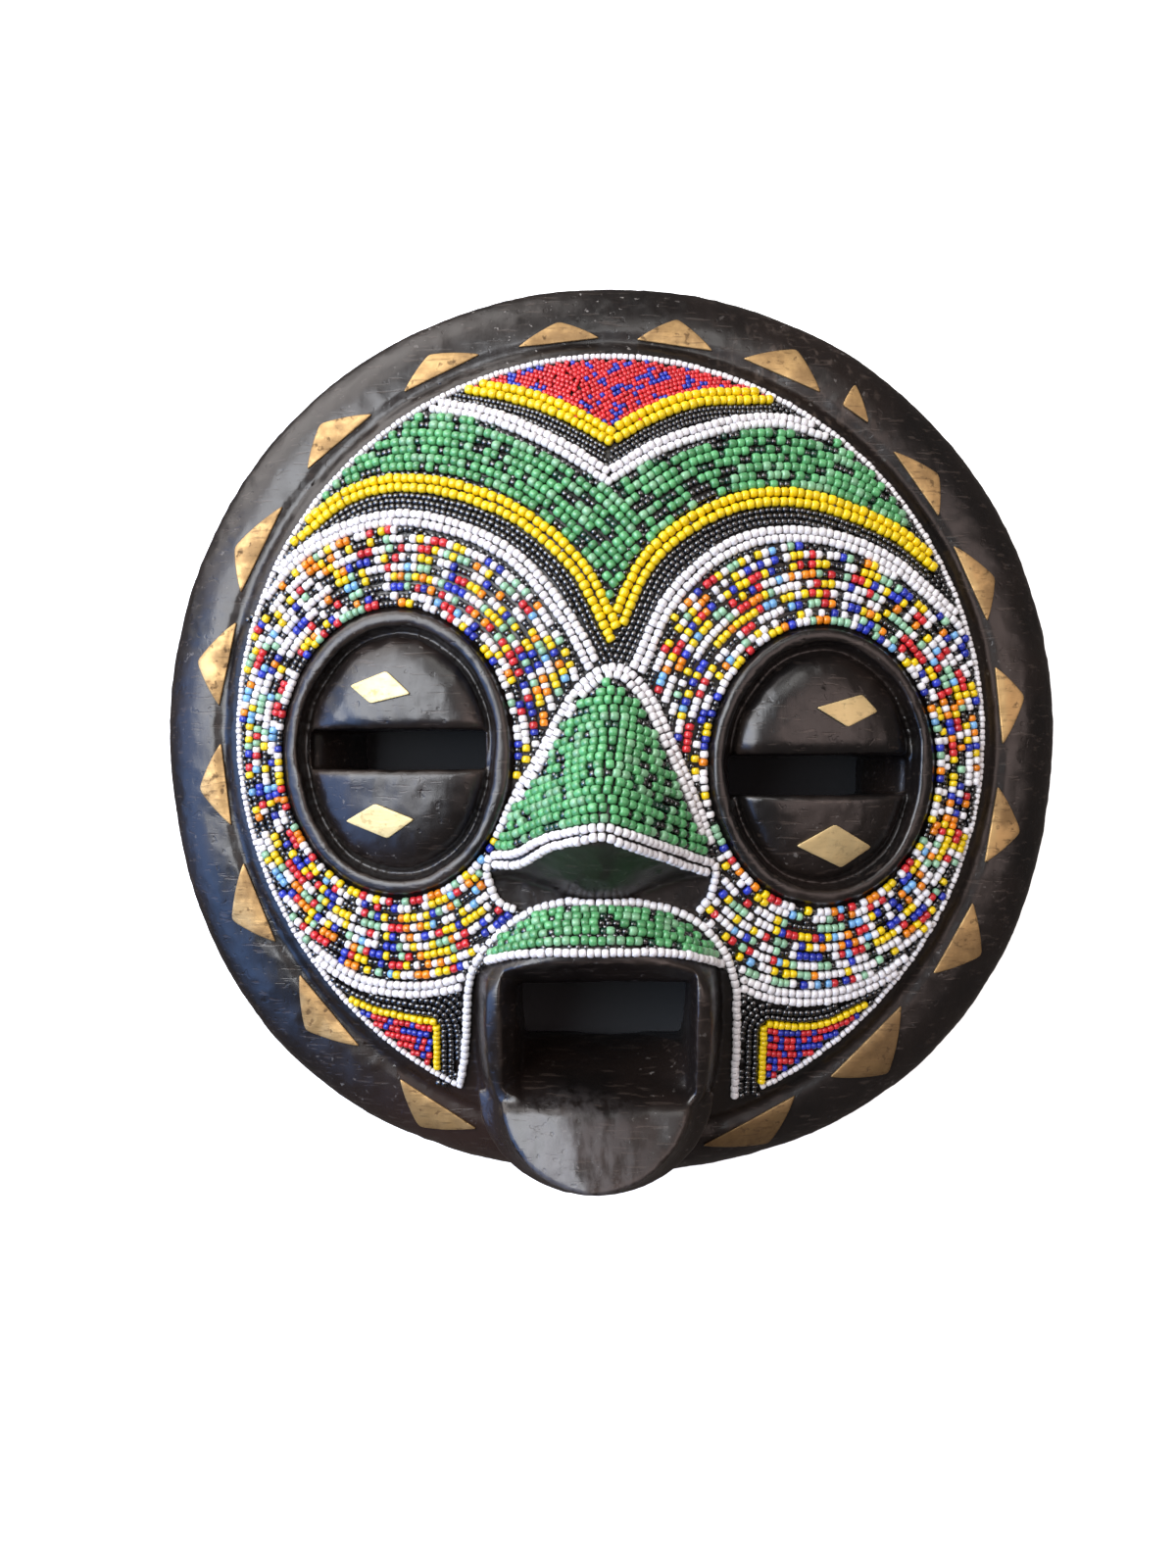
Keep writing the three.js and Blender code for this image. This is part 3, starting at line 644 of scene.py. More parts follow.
@dataclass
class LowerLip:
    """A scoop of wood with an oval free edge and a keel, on a body that widens down to the rim."""

    x: float = -5.5
    y: float = -118.0
    half: float = 31.1
    below: float = 30.6
    hole: float = -105.0
    floor: float = 5.0
    wall: float = 44.0
    wall_run: float = 20.0
    slope: float = 0.30
    side: float = 46.0
    body_beside: float = 1.24
    body_below: float = 1.15
    body_z: float = 44.0
    edge_round: float = 1.3
    keel: float = 5.5
    keel_half: float = 27.0
    keel_at: Tuple[float, float] = (-14.2, -126.0)
    keel_lean: float = -0.27

    def height(self, x: Array, y: Array) -> Array:
        """The scoop's wall from the hole's edge up to a sloping ledge, with a keel along it.

        Args:
            x: across, in plan.
            y: up the face, in plan.

        Returns:
            The heights.
        """
        out = np.maximum(0, self.hole - y)
        ramp = self.floor + self.wall * np.sin(math.pi / 2 * np.minimum(1, out / self.wall_run))
        ramp = ramp + self.slope * out
        side = np.maximum(0, self.side - ramp) * np.minimum(1, np.abs(x - self.x) / self.half) ** 4
        beside = np.abs(x - self.keel_at[0] - (y - self.keel_at[1]) * self.keel_lean) / self.keel_half
        return ramp + side + self.keel * np.maximum(0, 1 - np.sqrt(beside ** 2 + 0.0016))

    def half_at(self, y: Array) -> Array:
        """Half the free edge's width."""
        return self.half * np.sqrt(1 - np.clip((self.y - y) / self.below, 0, 0.99) ** 2)

    def solid(self) -> Solid:
        """The lip as a solid, with stations 2 to 1 the body's flank and 1 to 0 the scoop.

        Returns:
            The lip.
        """
        flank = [1 + (1 - 0.1 * i) ** 1.7 for i in range(10)]
        scoop = [1, 0.997, 0.99, 0.975] + [0.05 * i for i in range(19, -1, -1)]
        stations = [(0, 0), (2, 0)] + [(s, 1) for s in flank + scoop]

        def place(angle: Array, station: float, level: int) -> Points:
            """Places a ring of the lip.

            Args:
                angle: angles from the top.
                station: how far out the ring is.
                level: 0 for the foot, 1 for the surface.

            Returns:
                x, y and z.
            """
            sine, cosine = np.sin(angle), np.cos(angle)
            free = 1 / np.hypot(sine / self.half, cosine / self.below)
            to_hole = (self.hole - self.y) / np.maximum(1e-6, cosine)
            radius = min(1, station) * np.minimum(free, to_hole)
            x, y = self.x + radius * sine, self.y + radius * cosine
            turn = max(0.0, 1 - (1 - station) / 0.05) if station <= 1 else 1.0
            top = self.height(x, y) - np.where(cosine < 0, self.edge_round * turn ** 2, 0)
            spread = np.where(cosine < 0, max(0.0, station - 1), 0)
            foot = np.where(cosine < 0, self.body_z, 2.0)
            x = x + radius * sine * (self.body_beside - 1) * spread
            y = y + radius * cosine * (self.body_below - 1) * spread
            rise = 1 - max(0.0, station - 1) ** (1 / 1.7)
            return x, y, blend(foot, top, rise) if level else 0 * x + 1

        return turned("lip", stations, 160, place)


@dataclass
class Muzzle:
    """An arched upper lip and two jambs beside a square mouth, which the lower lip closes below."""

    x: float = -4.7
    y: float = -98.0
    half: float = 40.5
    below: float = 46.0
    foot_power: float = 2.8
    lip_top: float = -56.6
    lip_drop: float = 20.0
    lip_half: float = 40.0
    lip_power: float = 2.4
    lip_depth: float = 15.0
    front: float = 69.0
    side_fall: float = 8.0
    lower_fall: float = 14.0
    fall_from: float = -85.0
    fall_run: float = 45.0
    flank_top: float = -75.0
    flank_beside: float = 0.13
    flank_foot: float = 0.24
    flank_from: float = -118.0
    flank_run: float = 14.0
    left: float = -30.0
    right: float = 24.5
    top: float = -82.5
    end: float = -128.0
    neck: float = 52.0
    flare_left: float = 0.7
    flare_right: float = 0.25
    flare_top: float = 0.6
    lip: LowerLip = field(default_factory=LowerLip)

    def outline(self, angle: Array) -> Array:
        """The muzzle's radius about its middle, by angle from the top.

        Args:
            angle: angles from the top.

        Returns:
            The radii.
        """
        sine, cosine = np.sin(angle), np.cos(angle)
        power = self.foot_power
        low = (np.abs(sine / self.half) ** power + np.abs(cosine / self.below) ** power) ** (-1 / power)
        up = np.maximum(1e-6, cosine)
        to_side = self.half / np.maximum(1e-6, np.abs(sine))
        to_arch = (self.lip_top - self.y) / up
        for _ in range(14):
            out = np.minimum(1, np.abs(to_arch * sine) / self.lip_half)
            drop = self.lip_drop * out ** self.lip_power
            to_arch = blend(to_arch, (self.lip_top - drop - self.y) / up, 0.5)
        return np.where(cosine < 0, low, np.minimum(to_side, to_arch))

    def fall(self, y: Array) -> Array:
        """How far the front drops towards its foot."""
        return self.lower_fall * smooth((self.fall_from - y) / self.fall_run)

    def height(self, x: Array, y: Array, inset: float, disc: Disc) -> Array:
        """The muzzle's front before the mouth is cut.

        Args:
            x: across, in plan.
            y: up the face, in plan.
            inset: the distance in from the outline, as a share.
            disc: the plate under it.

        Returns:
            The heights.
        """
        out = np.abs(x - self.x) / self.lip_half
        arch = self.lip_top - self.lip_drop * np.minimum(1.2, out) ** self.lip_power
        lip = np.sin(math.pi / 2 * np.clip((arch - y) / self.lip_depth, 0, 1))
        run = blend(self.flank_beside, self.flank_foot, smooth((self.flank_from - y) / self.flank_run))
        flank = np.where(y < self.flank_top, smooth(inset / run) ** 0.8, 1)
        front = self.front - self.side_fall * np.minimum(1, out) ** 2.2 - self.fall(y)
        base = disc.height(x, y)
        return base + (front - base) * lip * flank

    def solid(self, disc: Disc) -> Solid:
        """The muzzle as a solid that stands in the disc.

        Args:
            disc: the plate under it.

        Returns:
            The muzzle.
        """
        rings = 1 - np.linspace(0, 1, 40) ** 1.5
        stations = [(0, 0), (1, 0)] + [(float(m), 1) for m in rings]

        def place(angle: Array, m: float, level: int) -> Points:
            """Places a ring of the muzzle.

            Args:
                angle: angles from the top.
                m: the ring's share of the outline.
                level: 0 for the foot, 1 for the surface.

            Returns:
                x, y and z.
            """
            x, y = around(angle, self.outline(angle) * m, self.x, self.y)
            if level == 0:
                return x, y, 0 * x + 1
            return x, y, disc.height(x, y) - 3 if m == 1 else self.height(x, y, 1 - m, disc)

        return turned("muzzle", stations, 200, place)

    def mouth(self) -> Solid:
        """The mouth between the jambs, as a cutter.

        Returns:
            The cutter.
        """
        rows = np.array([self.top, -94.0, -104.9, *np.linspace(self.lip.hole, self.end, 24)])
        levels = np.array([0, 0, 2.5, 6.0, 9.0, 14.0, 50.0])
        spread = np.array([0, 0, 0.35, 2.2, 5.0, 10.0, 46.0])

        def place(across: Array, along: Array, up: Array) -> Points:
            """Places the mouth's points.

            Args:
                across: fractions across.
                along: fractions along.
                up: fractions up.

            Returns:
                x, y and z.
            """
            level = np.rint(up * 6).astype(int)
            row = np.rint(along * (len(rows) - 1)).astype(int)
            grow = spread[level]
            x = blend(self.left, self.right, across)
            y = rows[row]
            floor = np.where(row < 3, -5.0, self.lip.height(x, y) - 0.3)
            x = x - self.flare_left * grow * (across < 0.001) + self.flare_right * grow * (across > 0.999)
            y = y + self.flare_top * grow * (row == 0)
            neck = np.maximum(floor + level, self.neck + levels[level] - self.fall(y))
            return x, y, np.where(level == 0, floor, neck)

        return block("mouth", (28, len(rows) - 1, 6), place)

    def scoop(self) -> Solid:
        """What is cut away over the lower lip, where the jambs end.

        Returns:
            The cutter.
        """

        def place(across: Array, along: Array, up: Array) -> Points:
            """Places the scoop's points.

            Args:
                across: fractions across.
                along: fractions along.
                up: fractions up.

            Returns:
                x, y and z.
            """
            y = blend(self.end + 2, -162.5, along ** 1.3)
            x = self.lip.x + (self.lip.half_at(y) + 1) * (2 * across - 1)
            return x, y, np.where(up > 0.5, 120.0, self.lip.height(x, y) - 0.3)

        return block("scoop", (60, 40, 1), place)


EYES: Dict[str, Eye] = {
    "left": Eye(-70.0, -8.6, 38.2, 46.8, slot_y=1.0, inner=-41.0, outer=-99.0, through=-84.0),
    "right": Eye(68.3, -13.0, 37.8, 45.6, slot_y=-2.8, inner=37.5, outer=97.5, through=85.0),
}


class Socket:
    """A shader socket that adds its own nodes when it meets an operator."""

    def __init__(self, tree: "Nodes", socket: object) -> None:
        """Wraps an output socket or a plain number."""
        self.tree, self.socket = tree, socket

    def _math(self, operation: str, *values: object) -> "Socket":
        """One Math node on these values."""
        return self.tree.make("ShaderNodeMath", {"operation": operation}, dict(enumerate(values)))

    def __add__(self, other: object) -> "Socket":
        """self + other."""
        return self._math("ADD", self, other)

    def __radd__(self, other: object) -> "Socket":
        """other + self."""
        return self._math("ADD", other, self)

    def __sub__(self, other: object) -> "Socket":
        """self - other."""
        return self._math("SUBTRACT", self, other)

    def __rsub__(self, other: object) -> "Socket":
        """other - self."""
        return self._math("SUBTRACT", other, self)

    def __mul__(self, other: object) -> "Socket":
        """self * other."""
        return self._math("MULTIPLY", self, other)

    def __rmul__(self, other: object) -> "Socket":
        """other * self."""
        return self._math("MULTIPLY", other, self)

    def at_least(self, other: object) -> "Socket":
        """The larger of self and other."""
        return self._math("MAXIMUM", self, other)

    def step(self, low: float, high: float) -> "Socket":
        """Eases from 0 at low to 1 at high."""
        settings = {"interpolation_type": "SMOOTHSTEP"}
        return self.tree.make("ShaderNodeMapRange", settings, {"Value": self, 1: low, 2: high})


class Nodes:
    """A material's or a world's node tree, with a method that makes any node."""

    def __init__(self, owner: bpy.types.ID, shader: str = "Principled BSDF") -> None:
        """Starts from the owner's first shader.

        Args:
            owner: a material or a world.
            shader: its shader node's name.
        """
        owner.use_nodes = True
        self.owner, self.tree = owner, owner.node_tree
        self.shader = self.tree.nodes[shader]

    def make(self, kind: str, settings: Dict[str, object], values: Dict[object, object],
             output: object = 0) -> Socket:
        """Makes a node.

        Args:
            kind: the node's type.
            settings: its properties, set first.
            values: numbers, colours or sockets by input name or place.
            output: the output to hand back, by name or place.

        Returns:
            That output.
        """
        node = self.tree.nodes.new(kind)
        for key, value in settings.items():
            setattr(node, key, value)
        for key, value in values.items():
            self.put(node.inputs[key], value)
        return Socket(self, node.outputs[output])

    def put(self, into: object, value: object) -> None:
        """Links a socket to an input, or sets the input's value.

        Args:
            into: the input.
            value: a socket, a number or a colour.
        """
        if isinstance(value, Socket):
            self.tree.links.new(value.socket, into)
        elif isinstance(value, tuple) and len(value) == 3 and into.type == "RGBA":
            into.default_value = (*value, 1.0)
        else:
            into.default_value = value

    def finish(self, **values: object) -> bpy.types.ID:
        """Sets the shader's inputs, named with underscores, and hands back the owner.

        Args:
            values: the inputs by name.

        Returns:
            The owner.
        """
        for key, value in values.items():
            self.put(self.shader.inputs[key.replace("_", " ")], value)
        return self.owner

    def place(self) -> Socket:
        """The place on the object, in metres."""
        return self.make("ShaderNodeTexCoord", {}, {}, "Object")

    def near(self, place: Socket, spot: Spot, reach: float) -> Socket:
        """Falls from 1 at a spot to 0 at a reach in metres."""
        far = self.make("ShaderNodeVectorMath", {"operation": "DISTANCE"}, {0: place, 1: spot}, "Value")
        return 1.0 - far.step(0.25 * reach, reach)

    def noise(self, place: Socket, scale: float, detail: float = 3.0, rough: float = 0.55) -> Socket:
        """Noise about 0.5, with a scale in lumps to the metre."""
        values = {"Vector": place, "Scale": scale, "Detail": detail, "Roughness": rough}
        return self.make("ShaderNodeTexNoise", {}, values)

    def stretch(self, place: Socket, scale: Spot) -> Socket:
        """The place scaled on each axis."""
        return self.make("ShaderNodeMapping", {}, {"Vector": place, "Scale": scale})

    def mix(self, factor: object, a: object, b: object) -> Socket:
        """A mix of two colours."""
        return self.make("ShaderNodeMix", {"data_type": "RGBA"}, {0: factor, 6: a, 7: b}, 2)

    def bump(self, height: Socket, distance: float, strength: float = 1.0) -> Socket:
        """A normal bent by a height, with the distance in metres."""
        return self.make("ShaderNodeBump", {}, {"Height": height, "Distance": distance, "Strength": strength})


@dataclass(frozen=True)
class StainedWood:
    """Black stained wood, worn by rubbing on its ridges and the lower lip, with tool marks, scuffs and dust,
    and a painted sheen on the lower lip.
    """

    stain: Colour = (0.0055, 0.0046, 0.0044)
    brown: Colour = (0.012, 0.0078, 0.0062)
    red_brown: Colour = (0.036, 0.018, 0.013)
    worn: Colour = (0.070, 0.052, 0.042)
    # Pale tone of the lower lip, standing for rubbing wear and for a painted sheen
    grey: Colour = (0.085, 0.078, 0.078)
    dust: Colour = (0.24, 0.22, 0.20)
    # Middle of the lower lip's pale patch, which is partly rubbing wear and partly painted sheen
    lip: Spot = (-0.012, -0.138, 0.072)
    lip_edge: Spot = (-0.002, -0.150, 0.076)
    brow: Spot = (0.060, 0.113, 0.024)
    chalky: Spot = (-0.022, 0.136, 0.024)
    ring_scuff: Spot = (0.090, -0.047, 0.040)
    rim_brown: Spot = (-0.045, -0.147, 0.012)

    def material(self) -> bpy.types.Material:
        """The finish as a material.

        Returns:
            The material.
        """
        nodes = Nodes(bpy.data.materials.new("stained wood"))
        place = nodes.place()
        streaks = nodes.noise(nodes.stretch(place, (1.0, 0.16, 1.0)), 260.0, 4.0)
        scratches = nodes.noise(nodes.stretch(place, (0.10, 1.0, 0.5)), 800.0, 2.0).step(0.60, 0.68)
        clouds = nodes.noise(place, 26.0, 4.0)
        fine = nodes.noise(place, 900.0, 2.0)
        cuts = {"Vector": nodes.stretch(place, (1.0, 0.45, 0.7)), "Scale": 190.0, "Smoothness": 0.35}
        gouges = nodes.make("ShaderNodeTexVoronoi", {"feature": "SMOOTH_F1"}, cuts, "Distance")
        pits = nodes.noise(place, 330.0, 1.0).step(0.66, 0.72)
        pointiness = nodes.make("ShaderNodeNewGeometry", {}, {}, "Pointiness")
        ridge = pointiness.step(0.506, 0.54) * clouds.step(0.40, 0.62)
        # Lower lip's pale patch, centred left of its middle: partly rubbing wear, partly painted sheen where
        # light reflects
        rubbed_and_sheen = nodes.near(place, self.lip, 0.036) * streaks.step(0.36, 0.62)
        rubbed_and_sheen = rubbed_and_sheen.at_least(nodes.near(place, self.lip_edge, 0.022) * fine.step(0.40, 0.60))
        marks = nodes.noise(nodes.stretch(place, (1.0, 0.4, 1.0)), 300.0, 4.0).step(0.54, 0.68)
        scuffs = nodes.near(place, self.brow, 0.044)
        scuffs = scuffs.at_least(nodes.near(place, self.ring_scuff, 0.020)) * marks
        chalk = clouds.step(0.46, 0.62) * 0.5 + nodes.near(place, self.chalky, 0.062)
        specks = nodes.noise(place, 420.0, 2.0).step(0.675, 0.73) * chalk
        base = nodes.mix(clouds.step(0.36, 0.66), self.stain, self.brown)
        base = nodes.mix(streaks.step(0.5, 0.78) * 0.4, base, self.brown)
        base = nodes.mix(nodes.near(place, self.rim_brown, 0.060) * 0.7, base, self.red_brown)
        base = nodes.mix(ridge * 0.5, base, self.worn)
        base = nodes.mix(scratches * 0.35, base, self.worn)
        base = nodes.mix(scuffs * 0.7, base, self.worn)
        base = nodes.mix(rubbed_and_sheen * 0.8, base, self.grey)
        base = nodes.mix(specks * 0.75, base, self.dust)
        grain = streaks * 0.22 + fine * 0.04 + gouges * 0.20 + clouds * 0.35 - scratches * 0.08 - pits * 0.12
        rough = 0.22 + streaks * 0.12 + specks * 0.3 + rubbed_and_sheen * 0.06 + clouds.step(0.3, 0.7) * 0.08
        return nodes.finish(Base_Color=base, Roughness=rough, Normal=nodes.bump(grain, 0.0005, 0.8), IOR=1.6)


@dataclass(frozen=True)
class TarnishedBrass:
    """Thin hammered brass sheet with scratches and brown tarnish, with a polish on the eyelids that is
    painted much brighter on the left diamonds than on the right: a painted highlight from the light on the
    left.
    """

    bright: Colour = (0.55, 0.355, 0.15)
    dull: Colour = (0.33, 0.205, 0.088)
    tarnish: Colour = (0.085, 0.048, 0.024)
    # Eyelid polish colour, laid on far more strongly on the left diamonds as a painted highlight
    polished_and_lit: Colour = (0.82, 0.67, 0.33)
    chin: Spot = (0.060, -0.130, 0.024)

    def material(self) -> bpy.types.Material:
        """The finish as a material.

        Returns:
            The material.
        """
        nodes = Nodes(bpy.data.materials.new("tarnished brass"))
        place = nodes.place()
        clouds = nodes.noise(place, 90.0, 4.0, 0.6)
        scratches = nodes.noise(nodes.stretch(place, (0.12, 1.0, 1.0)), 900.0, 2.0)
        dents = nodes.noise(place, 160.0, 1.0)
        spots = nodes.noise(place, 330.0, 3.0).step(0.58, 0.70)
        from_middle = nodes.make("ShaderNodeVectorMath", {"operation": "LENGTH"}, {0: place}, "Value")
        on_lid = 1.0 - from_middle.step(0.108, 0.118)
        base = nodes.mix(clouds.step(0.38, 0.66), self.bright, self.dull)
        base = nodes.mix(nodes.near(place, self.chin, 0.090) * 0.55, base, self.tarnish)
        # Left eyelid diamonds get the polish colour almost fully, right ones less than half: painted
        # highlight for light from the left
        across = nodes.make("ShaderNodeSeparateXYZ", {}, {"Vector": place}, "X")
        base = nodes.mix(on_lid * (0.92 - across.step(-0.02, 0.02) * 0.5), base, self.polished_and_lit)
        base = nodes.mix(spots * (0.6 - on_lid * 0.4), base, self.tarnish)
        base = nodes.mix(scratches.step(0.58, 0.7) * (0.4 - on_lid * 0.2), base, self.tarnish)
        rough = 0.42 + clouds.step(0.35, 0.7) * 0.2 + scratches * 0.08 + spots * 0.2
        height = dents * 1.0 + scratches * 0.2 + spots * -0.1
        return nodes.finish(Base_Color=base, Metallic=0.75 - on_lid * 0.35, Roughness=rough,
                            Normal=nodes.bump(height, 0.0006, 0.6))


@dataclass(frozen=True)
class BeadGlass:
    """Opaque pressed glass in one colour, a little different from bead to bead."""

    name: str
    colour: Colour
    spread: float = 0.16
    roughness: float = 0.13
    ior: float = 1.55

    def material(self) -> bpy.types.Material:
        """The finish as a material.

        Returns:
            The material.
        """
        nodes = Nodes(bpy.data.materials.new(self.name + " glass"))
        chance = nodes.make("ShaderNodeNewGeometry", {}, {}, "Random Per Island")
        grime = nodes.noise(nodes.place(), 700.0, 3.0).step(0.52, 0.78)
        darker = tuple(c * (1 - 1.6 * self.spread) for c in self.colour)
        lighter = tuple(min(1.0, c * (1 + self.spread)) for c in self.colour)
        base = nodes.mix(chance, darker, lighter)
        base = nodes.mix(grime * 0.3, base, tuple(c * 0.5 for c in self.colour))
        rough = self.roughness + grime * 0.2 + chance * 0.06
        return nodes.finish(Base_Color=base, Roughness=rough, IOR=self.ior, Coat_Weight=0.3,
                            Coat_Roughness=0.06)


class Tint(Enum):
    """The bead colours."""

    WHITE = BeadGlass("white", (0.80, 0.78, 0.79), 0.05)
    YELLOW = BeadGlass("yellow", (0.86, 0.60, 0.005), 0.08)
    GREEN = BeadGlass("green", (0.10, 0.355, 0.135), 0.20)
    MINT = BeadGlass("mint", (0.19, 0.41, 0.22), 0.15)
    DARK_GREEN = BeadGlass("dark green", (0.006, 0.045, 0.025), 0.3, 0.06, 1.9)
    BLACK = BeadGlass("black", (0.005, 0.005, 0.006), 0.3, 0.05, 2.1)
    RED = BeadGlass("red", (0.62, 0.024, 0.030), 0.14)
    BLUE = BeadGlass("blue", (0.022, 0.040, 0.42), 0.2)
    SKY = BeadGlass("sky blue", (0.18, 0.42, 0.72), 0.15)
    ORANGE = BeadGlass("orange", (0.84, 0.24, 0.008), 0.14)
    SAGE = BeadGlass("sage", (0.28, 0.52, 0.33), 0.15)


def to_piece(solid: Solid, material: bpy.types.Material, slot: str, *nodes: str) -> bpy.types.Object:
    """Makes a shaped solid into a piece of the model.

    Args:
        solid: the solid, in millimetres.
        material: its finish.
        slot: the record's material slot.
        nodes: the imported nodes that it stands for.

    Returns:
        The Blender object, in metres.
    """
    solid.move_points(solid.read("co") * MM)
    solid.object.data.materials.clear()
    solid.object.data.materials.append(material)
    return declare(solid.object, slot, *nodes)


def declare(piece: bpy.types.Object, slot: str, *nodes: str) -> bpy.types.Object:
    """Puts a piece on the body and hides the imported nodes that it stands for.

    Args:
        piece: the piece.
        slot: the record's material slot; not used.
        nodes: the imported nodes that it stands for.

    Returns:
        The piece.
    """
    piece.data.polygons.foreach_set("use_smooth", [True] * len(piece.data.polygons))
    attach(piece, BODY)
    if nodes:
        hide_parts(*nodes)
    log.info("%s: %d faces", piece.name, len(piece.data.polygons))
    return piece


@dataclass
class CarvedWood:
    """The one carved piece: the disc with its nose, muzzle and eyes, hollowed from the back."""

    disc: Disc = field(default_factory=Disc)
    nose: Nose = field(default_factory=Nose)
    muzzle: Muzzle = field(default_factory=Muzzle)
    hollow: Hollow = field(default_factory=Hollow)
    voxel: float = 0.7
    triangles: int = 165_000
    sway: Tuple[float, float] = (0.40, 34.0)
    facets: Tuple[float, float] = (0.42, 8.5)
    chips: Tuple[float, float] = (0.10, 2.6)

    def carve(self) -> Solid:
        """Joins and cuts the forms, then works the surface over by hand.

        Returns:
            The wood.
        """
        wood = self.disc.solid()
        wood.combine(self.nose.solid(self.disc), "UNION").combine(self.muzzle.solid(self.disc), "UNION")
        for eye in EYES.values():
            wood.combine(eye.well(), "DIFFERENCE").combine(eye.plug(self.disc), "UNION")
        wood.combine(self.hollow.solid(), "DIFFERENCE")
        wood.combine(self.muzzle.mouth(), "DIFFERENCE").combine(self.muzzle.scoop(), "DIFFERENCE")
        wood.combine(self.muzzle.lip.solid().combine(self.hollow.solid(), "DIFFERENCE"), "UNION")
        for eye in EYES.values():
            wood.combine(eye.slot(self.disc), "DIFFERENCE")
        wood.modify("REMESH", mode="VOXEL", voxel_size=self.voxel)
        wood.modify("SMOOTH", factor=0.5, iterations=8)
        self.work_over(wood)
        share = self.triangles / (2 * len(wood.object.data.polygons))
        wood.modify("DECIMATE", ratio=share)
        return self.keep_in_box(wood)

    def work_over(self, wood: Solid) -> None:
        """Moves the surface in and out as a knife and a rasp leave it.

        Args:
            wood: the joined wood.
        """
        points, normals = wood.read("co"), wood.read("normal")
        shift = self.sway[0] * pieces_of_noise(points, self.sway[1], 2, 3.1)
        shift -= self.facets[0] * np.abs(pieces_of_noise(points, self.facets[1], 1, 10.1))
        shift += self.chips[0] * pieces_of_noise(points, self.chips[1], 2, 17.1)
        nearly_back = smooth(points[:, 2] / 3.0)
        wood.move_points(points + normals * (shift * nearly_back)[:, None])

    def keep_in_box(self, wood: Solid) -> Solid:
        """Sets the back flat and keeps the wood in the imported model's box.

        Args:
            wood: the worked wood.

        Returns:
            The same wood.
        """
        low, high = (np.array(corner) / MM for corner in CAD_BOX)
        points = np.clip(wood.read("co"), low, high)
        points[points[:, 2] < 0.7, 2] = 0.0
        wood.move_points(points)
        return wood


class Track:
    """A line laid on the wood: its places, directions, normals and lengths, in steps."""

    STEP = 0.25

    def __init__(self, relief: "Relief", line: Array) -> None:
        """Lays a line of plan points on the relief.

        Args:
            relief: the wood's relief.
            line: the points in plan.
        """
        self.plan = resample(line, self.STEP)
        self.normals = relief.normals(self.plan)
        self.places = np.column_stack([self.plan, relief.heights(self.plan)])
        ahead = np.gradient(self.places, axis=0)
        self.directions = ahead / np.linalg.norm(ahead, axis=1)[:, None]
        hops = np.linalg.norm(np.diff(self.places, axis=0), axis=1)
        self.lengths = np.concatenate([[0.0], np.cumsum(hops)])


class Relief:
    """The wood's height seen from above, read between the points of a grid."""

    PITCH = 0.8
    HALF = 156.0

    def __init__(self, wood: Solid) -> None:
        """Drops a ray on the wood at each point of the grid.

        Args:
            wood: the carved wood.
        """
        tree = BVHTree.FromObject(wood.object, bpy.context.evaluated_depsgraph_get())
        self.count = int(2 * self.HALF / self.PITCH) + 1
        down, grid = Vector((0, 0, -1)), np.zeros((self.count, self.count))
        for i in range(self.count):
            for j in range(self.count):
                start = Vector((i * self.PITCH - self.HALF, j * self.PITCH - self.HALF, 120.0))
                hit = tree.ray_cast(start, down)[0]
                grid[i, j] = hit.z if hit else 0.0
        for _ in range(2):
            for axis in (0, 1):
                grid = (np.roll(grid, 1, axis) + 2 * grid + np.roll(grid, -1, axis)) / 4
        self.grid = grid

    def heights(self, plan: Array) -> Array:
        """The wood's height at points in plan.

        Args:
            plan: points in plan.

        Returns:
            The heights.
        """
        at = np.clip((plan + self.HALF) / self.PITCH, 0, self.count - 1.001)
        i, j = np.floor(at).astype(int).T
        u, v = (at - np.floor(at)).T
        low = blend(self.grid[i, j], self.grid[i + 1, j], u)
        high = blend(self.grid[i, j + 1], self.grid[i + 1, j + 1], u)
        return blend(low, high, v)

    def slopes(self, plan: Array, reach: float = 0.9) -> Array:
        """The rise of the wood along x and y at points in plan.

        Args:
            plan: points in plan.
            reach: how far to each side to look.

        Returns:
            Two slopes a point.
        """
        x, y = np.array([reach, 0.0]), np.array([0.0, reach])
        rises = [self.heights(plan + step) - self.heights(plan - step) for step in (x, y)]
        return np.stack(rises, axis=1) / (2 * reach)

    def normals(self, plan: Array) -> Array:
        """The wood's outward normals at points in plan.

        Args:
            plan: points in plan.

        Returns:
            The normals.
        """
        slopes = self.slopes(plan)
        normals = np.column_stack([-slopes, np.ones(len(plan))])
        return normals / np.linalg.norm(normals, axis=1)[:, None]


def resample(line: Array, step: float) -> Array:
    """Points evenly spaced along a line of points.

    Args:
        line: the points.
        step: the spacing.

    Returns:
        The new points.
    """
    hops = np.linalg.norm(np.diff(line, axis=0), axis=1)
    along = np.concatenate([[0.0], np.cumsum(hops)])
    at = np.linspace(0, along[-1], max(2, int(along[-1] / step) + 1))
    return np.column_stack([np.interp(at, along, line[:, k]) for k in (0, 1)])


def spline(controls: Sequence[Tuple[float, float]], step: float = 0.6) -> Array:
    """A smooth line through its control points.

    Args:
        controls: the control points.
        step: the spacing of its points.

    Returns:
        The line's points.
    """
    given = np.array(controls, float)
    ends = np.vstack([2 * given[0] - given[1], given, 2 * given[-1] - given[-2]])
    t = np.linspace(0, 1, 24, endpoint=False)[:, None]
    parts = []
    for a, b, c, d in zip(ends, ends[1:], ends[2:], ends[3:]):
        parts.append(0.5 * (2 * b + (c - a) * t + (2 * a - 5 * b + 4 * c - d) * t ** 2
                            + (3 * b - a - 3 * c + d) * t ** 3))
    return resample(np.vstack(parts + [given[-1:]]), step)


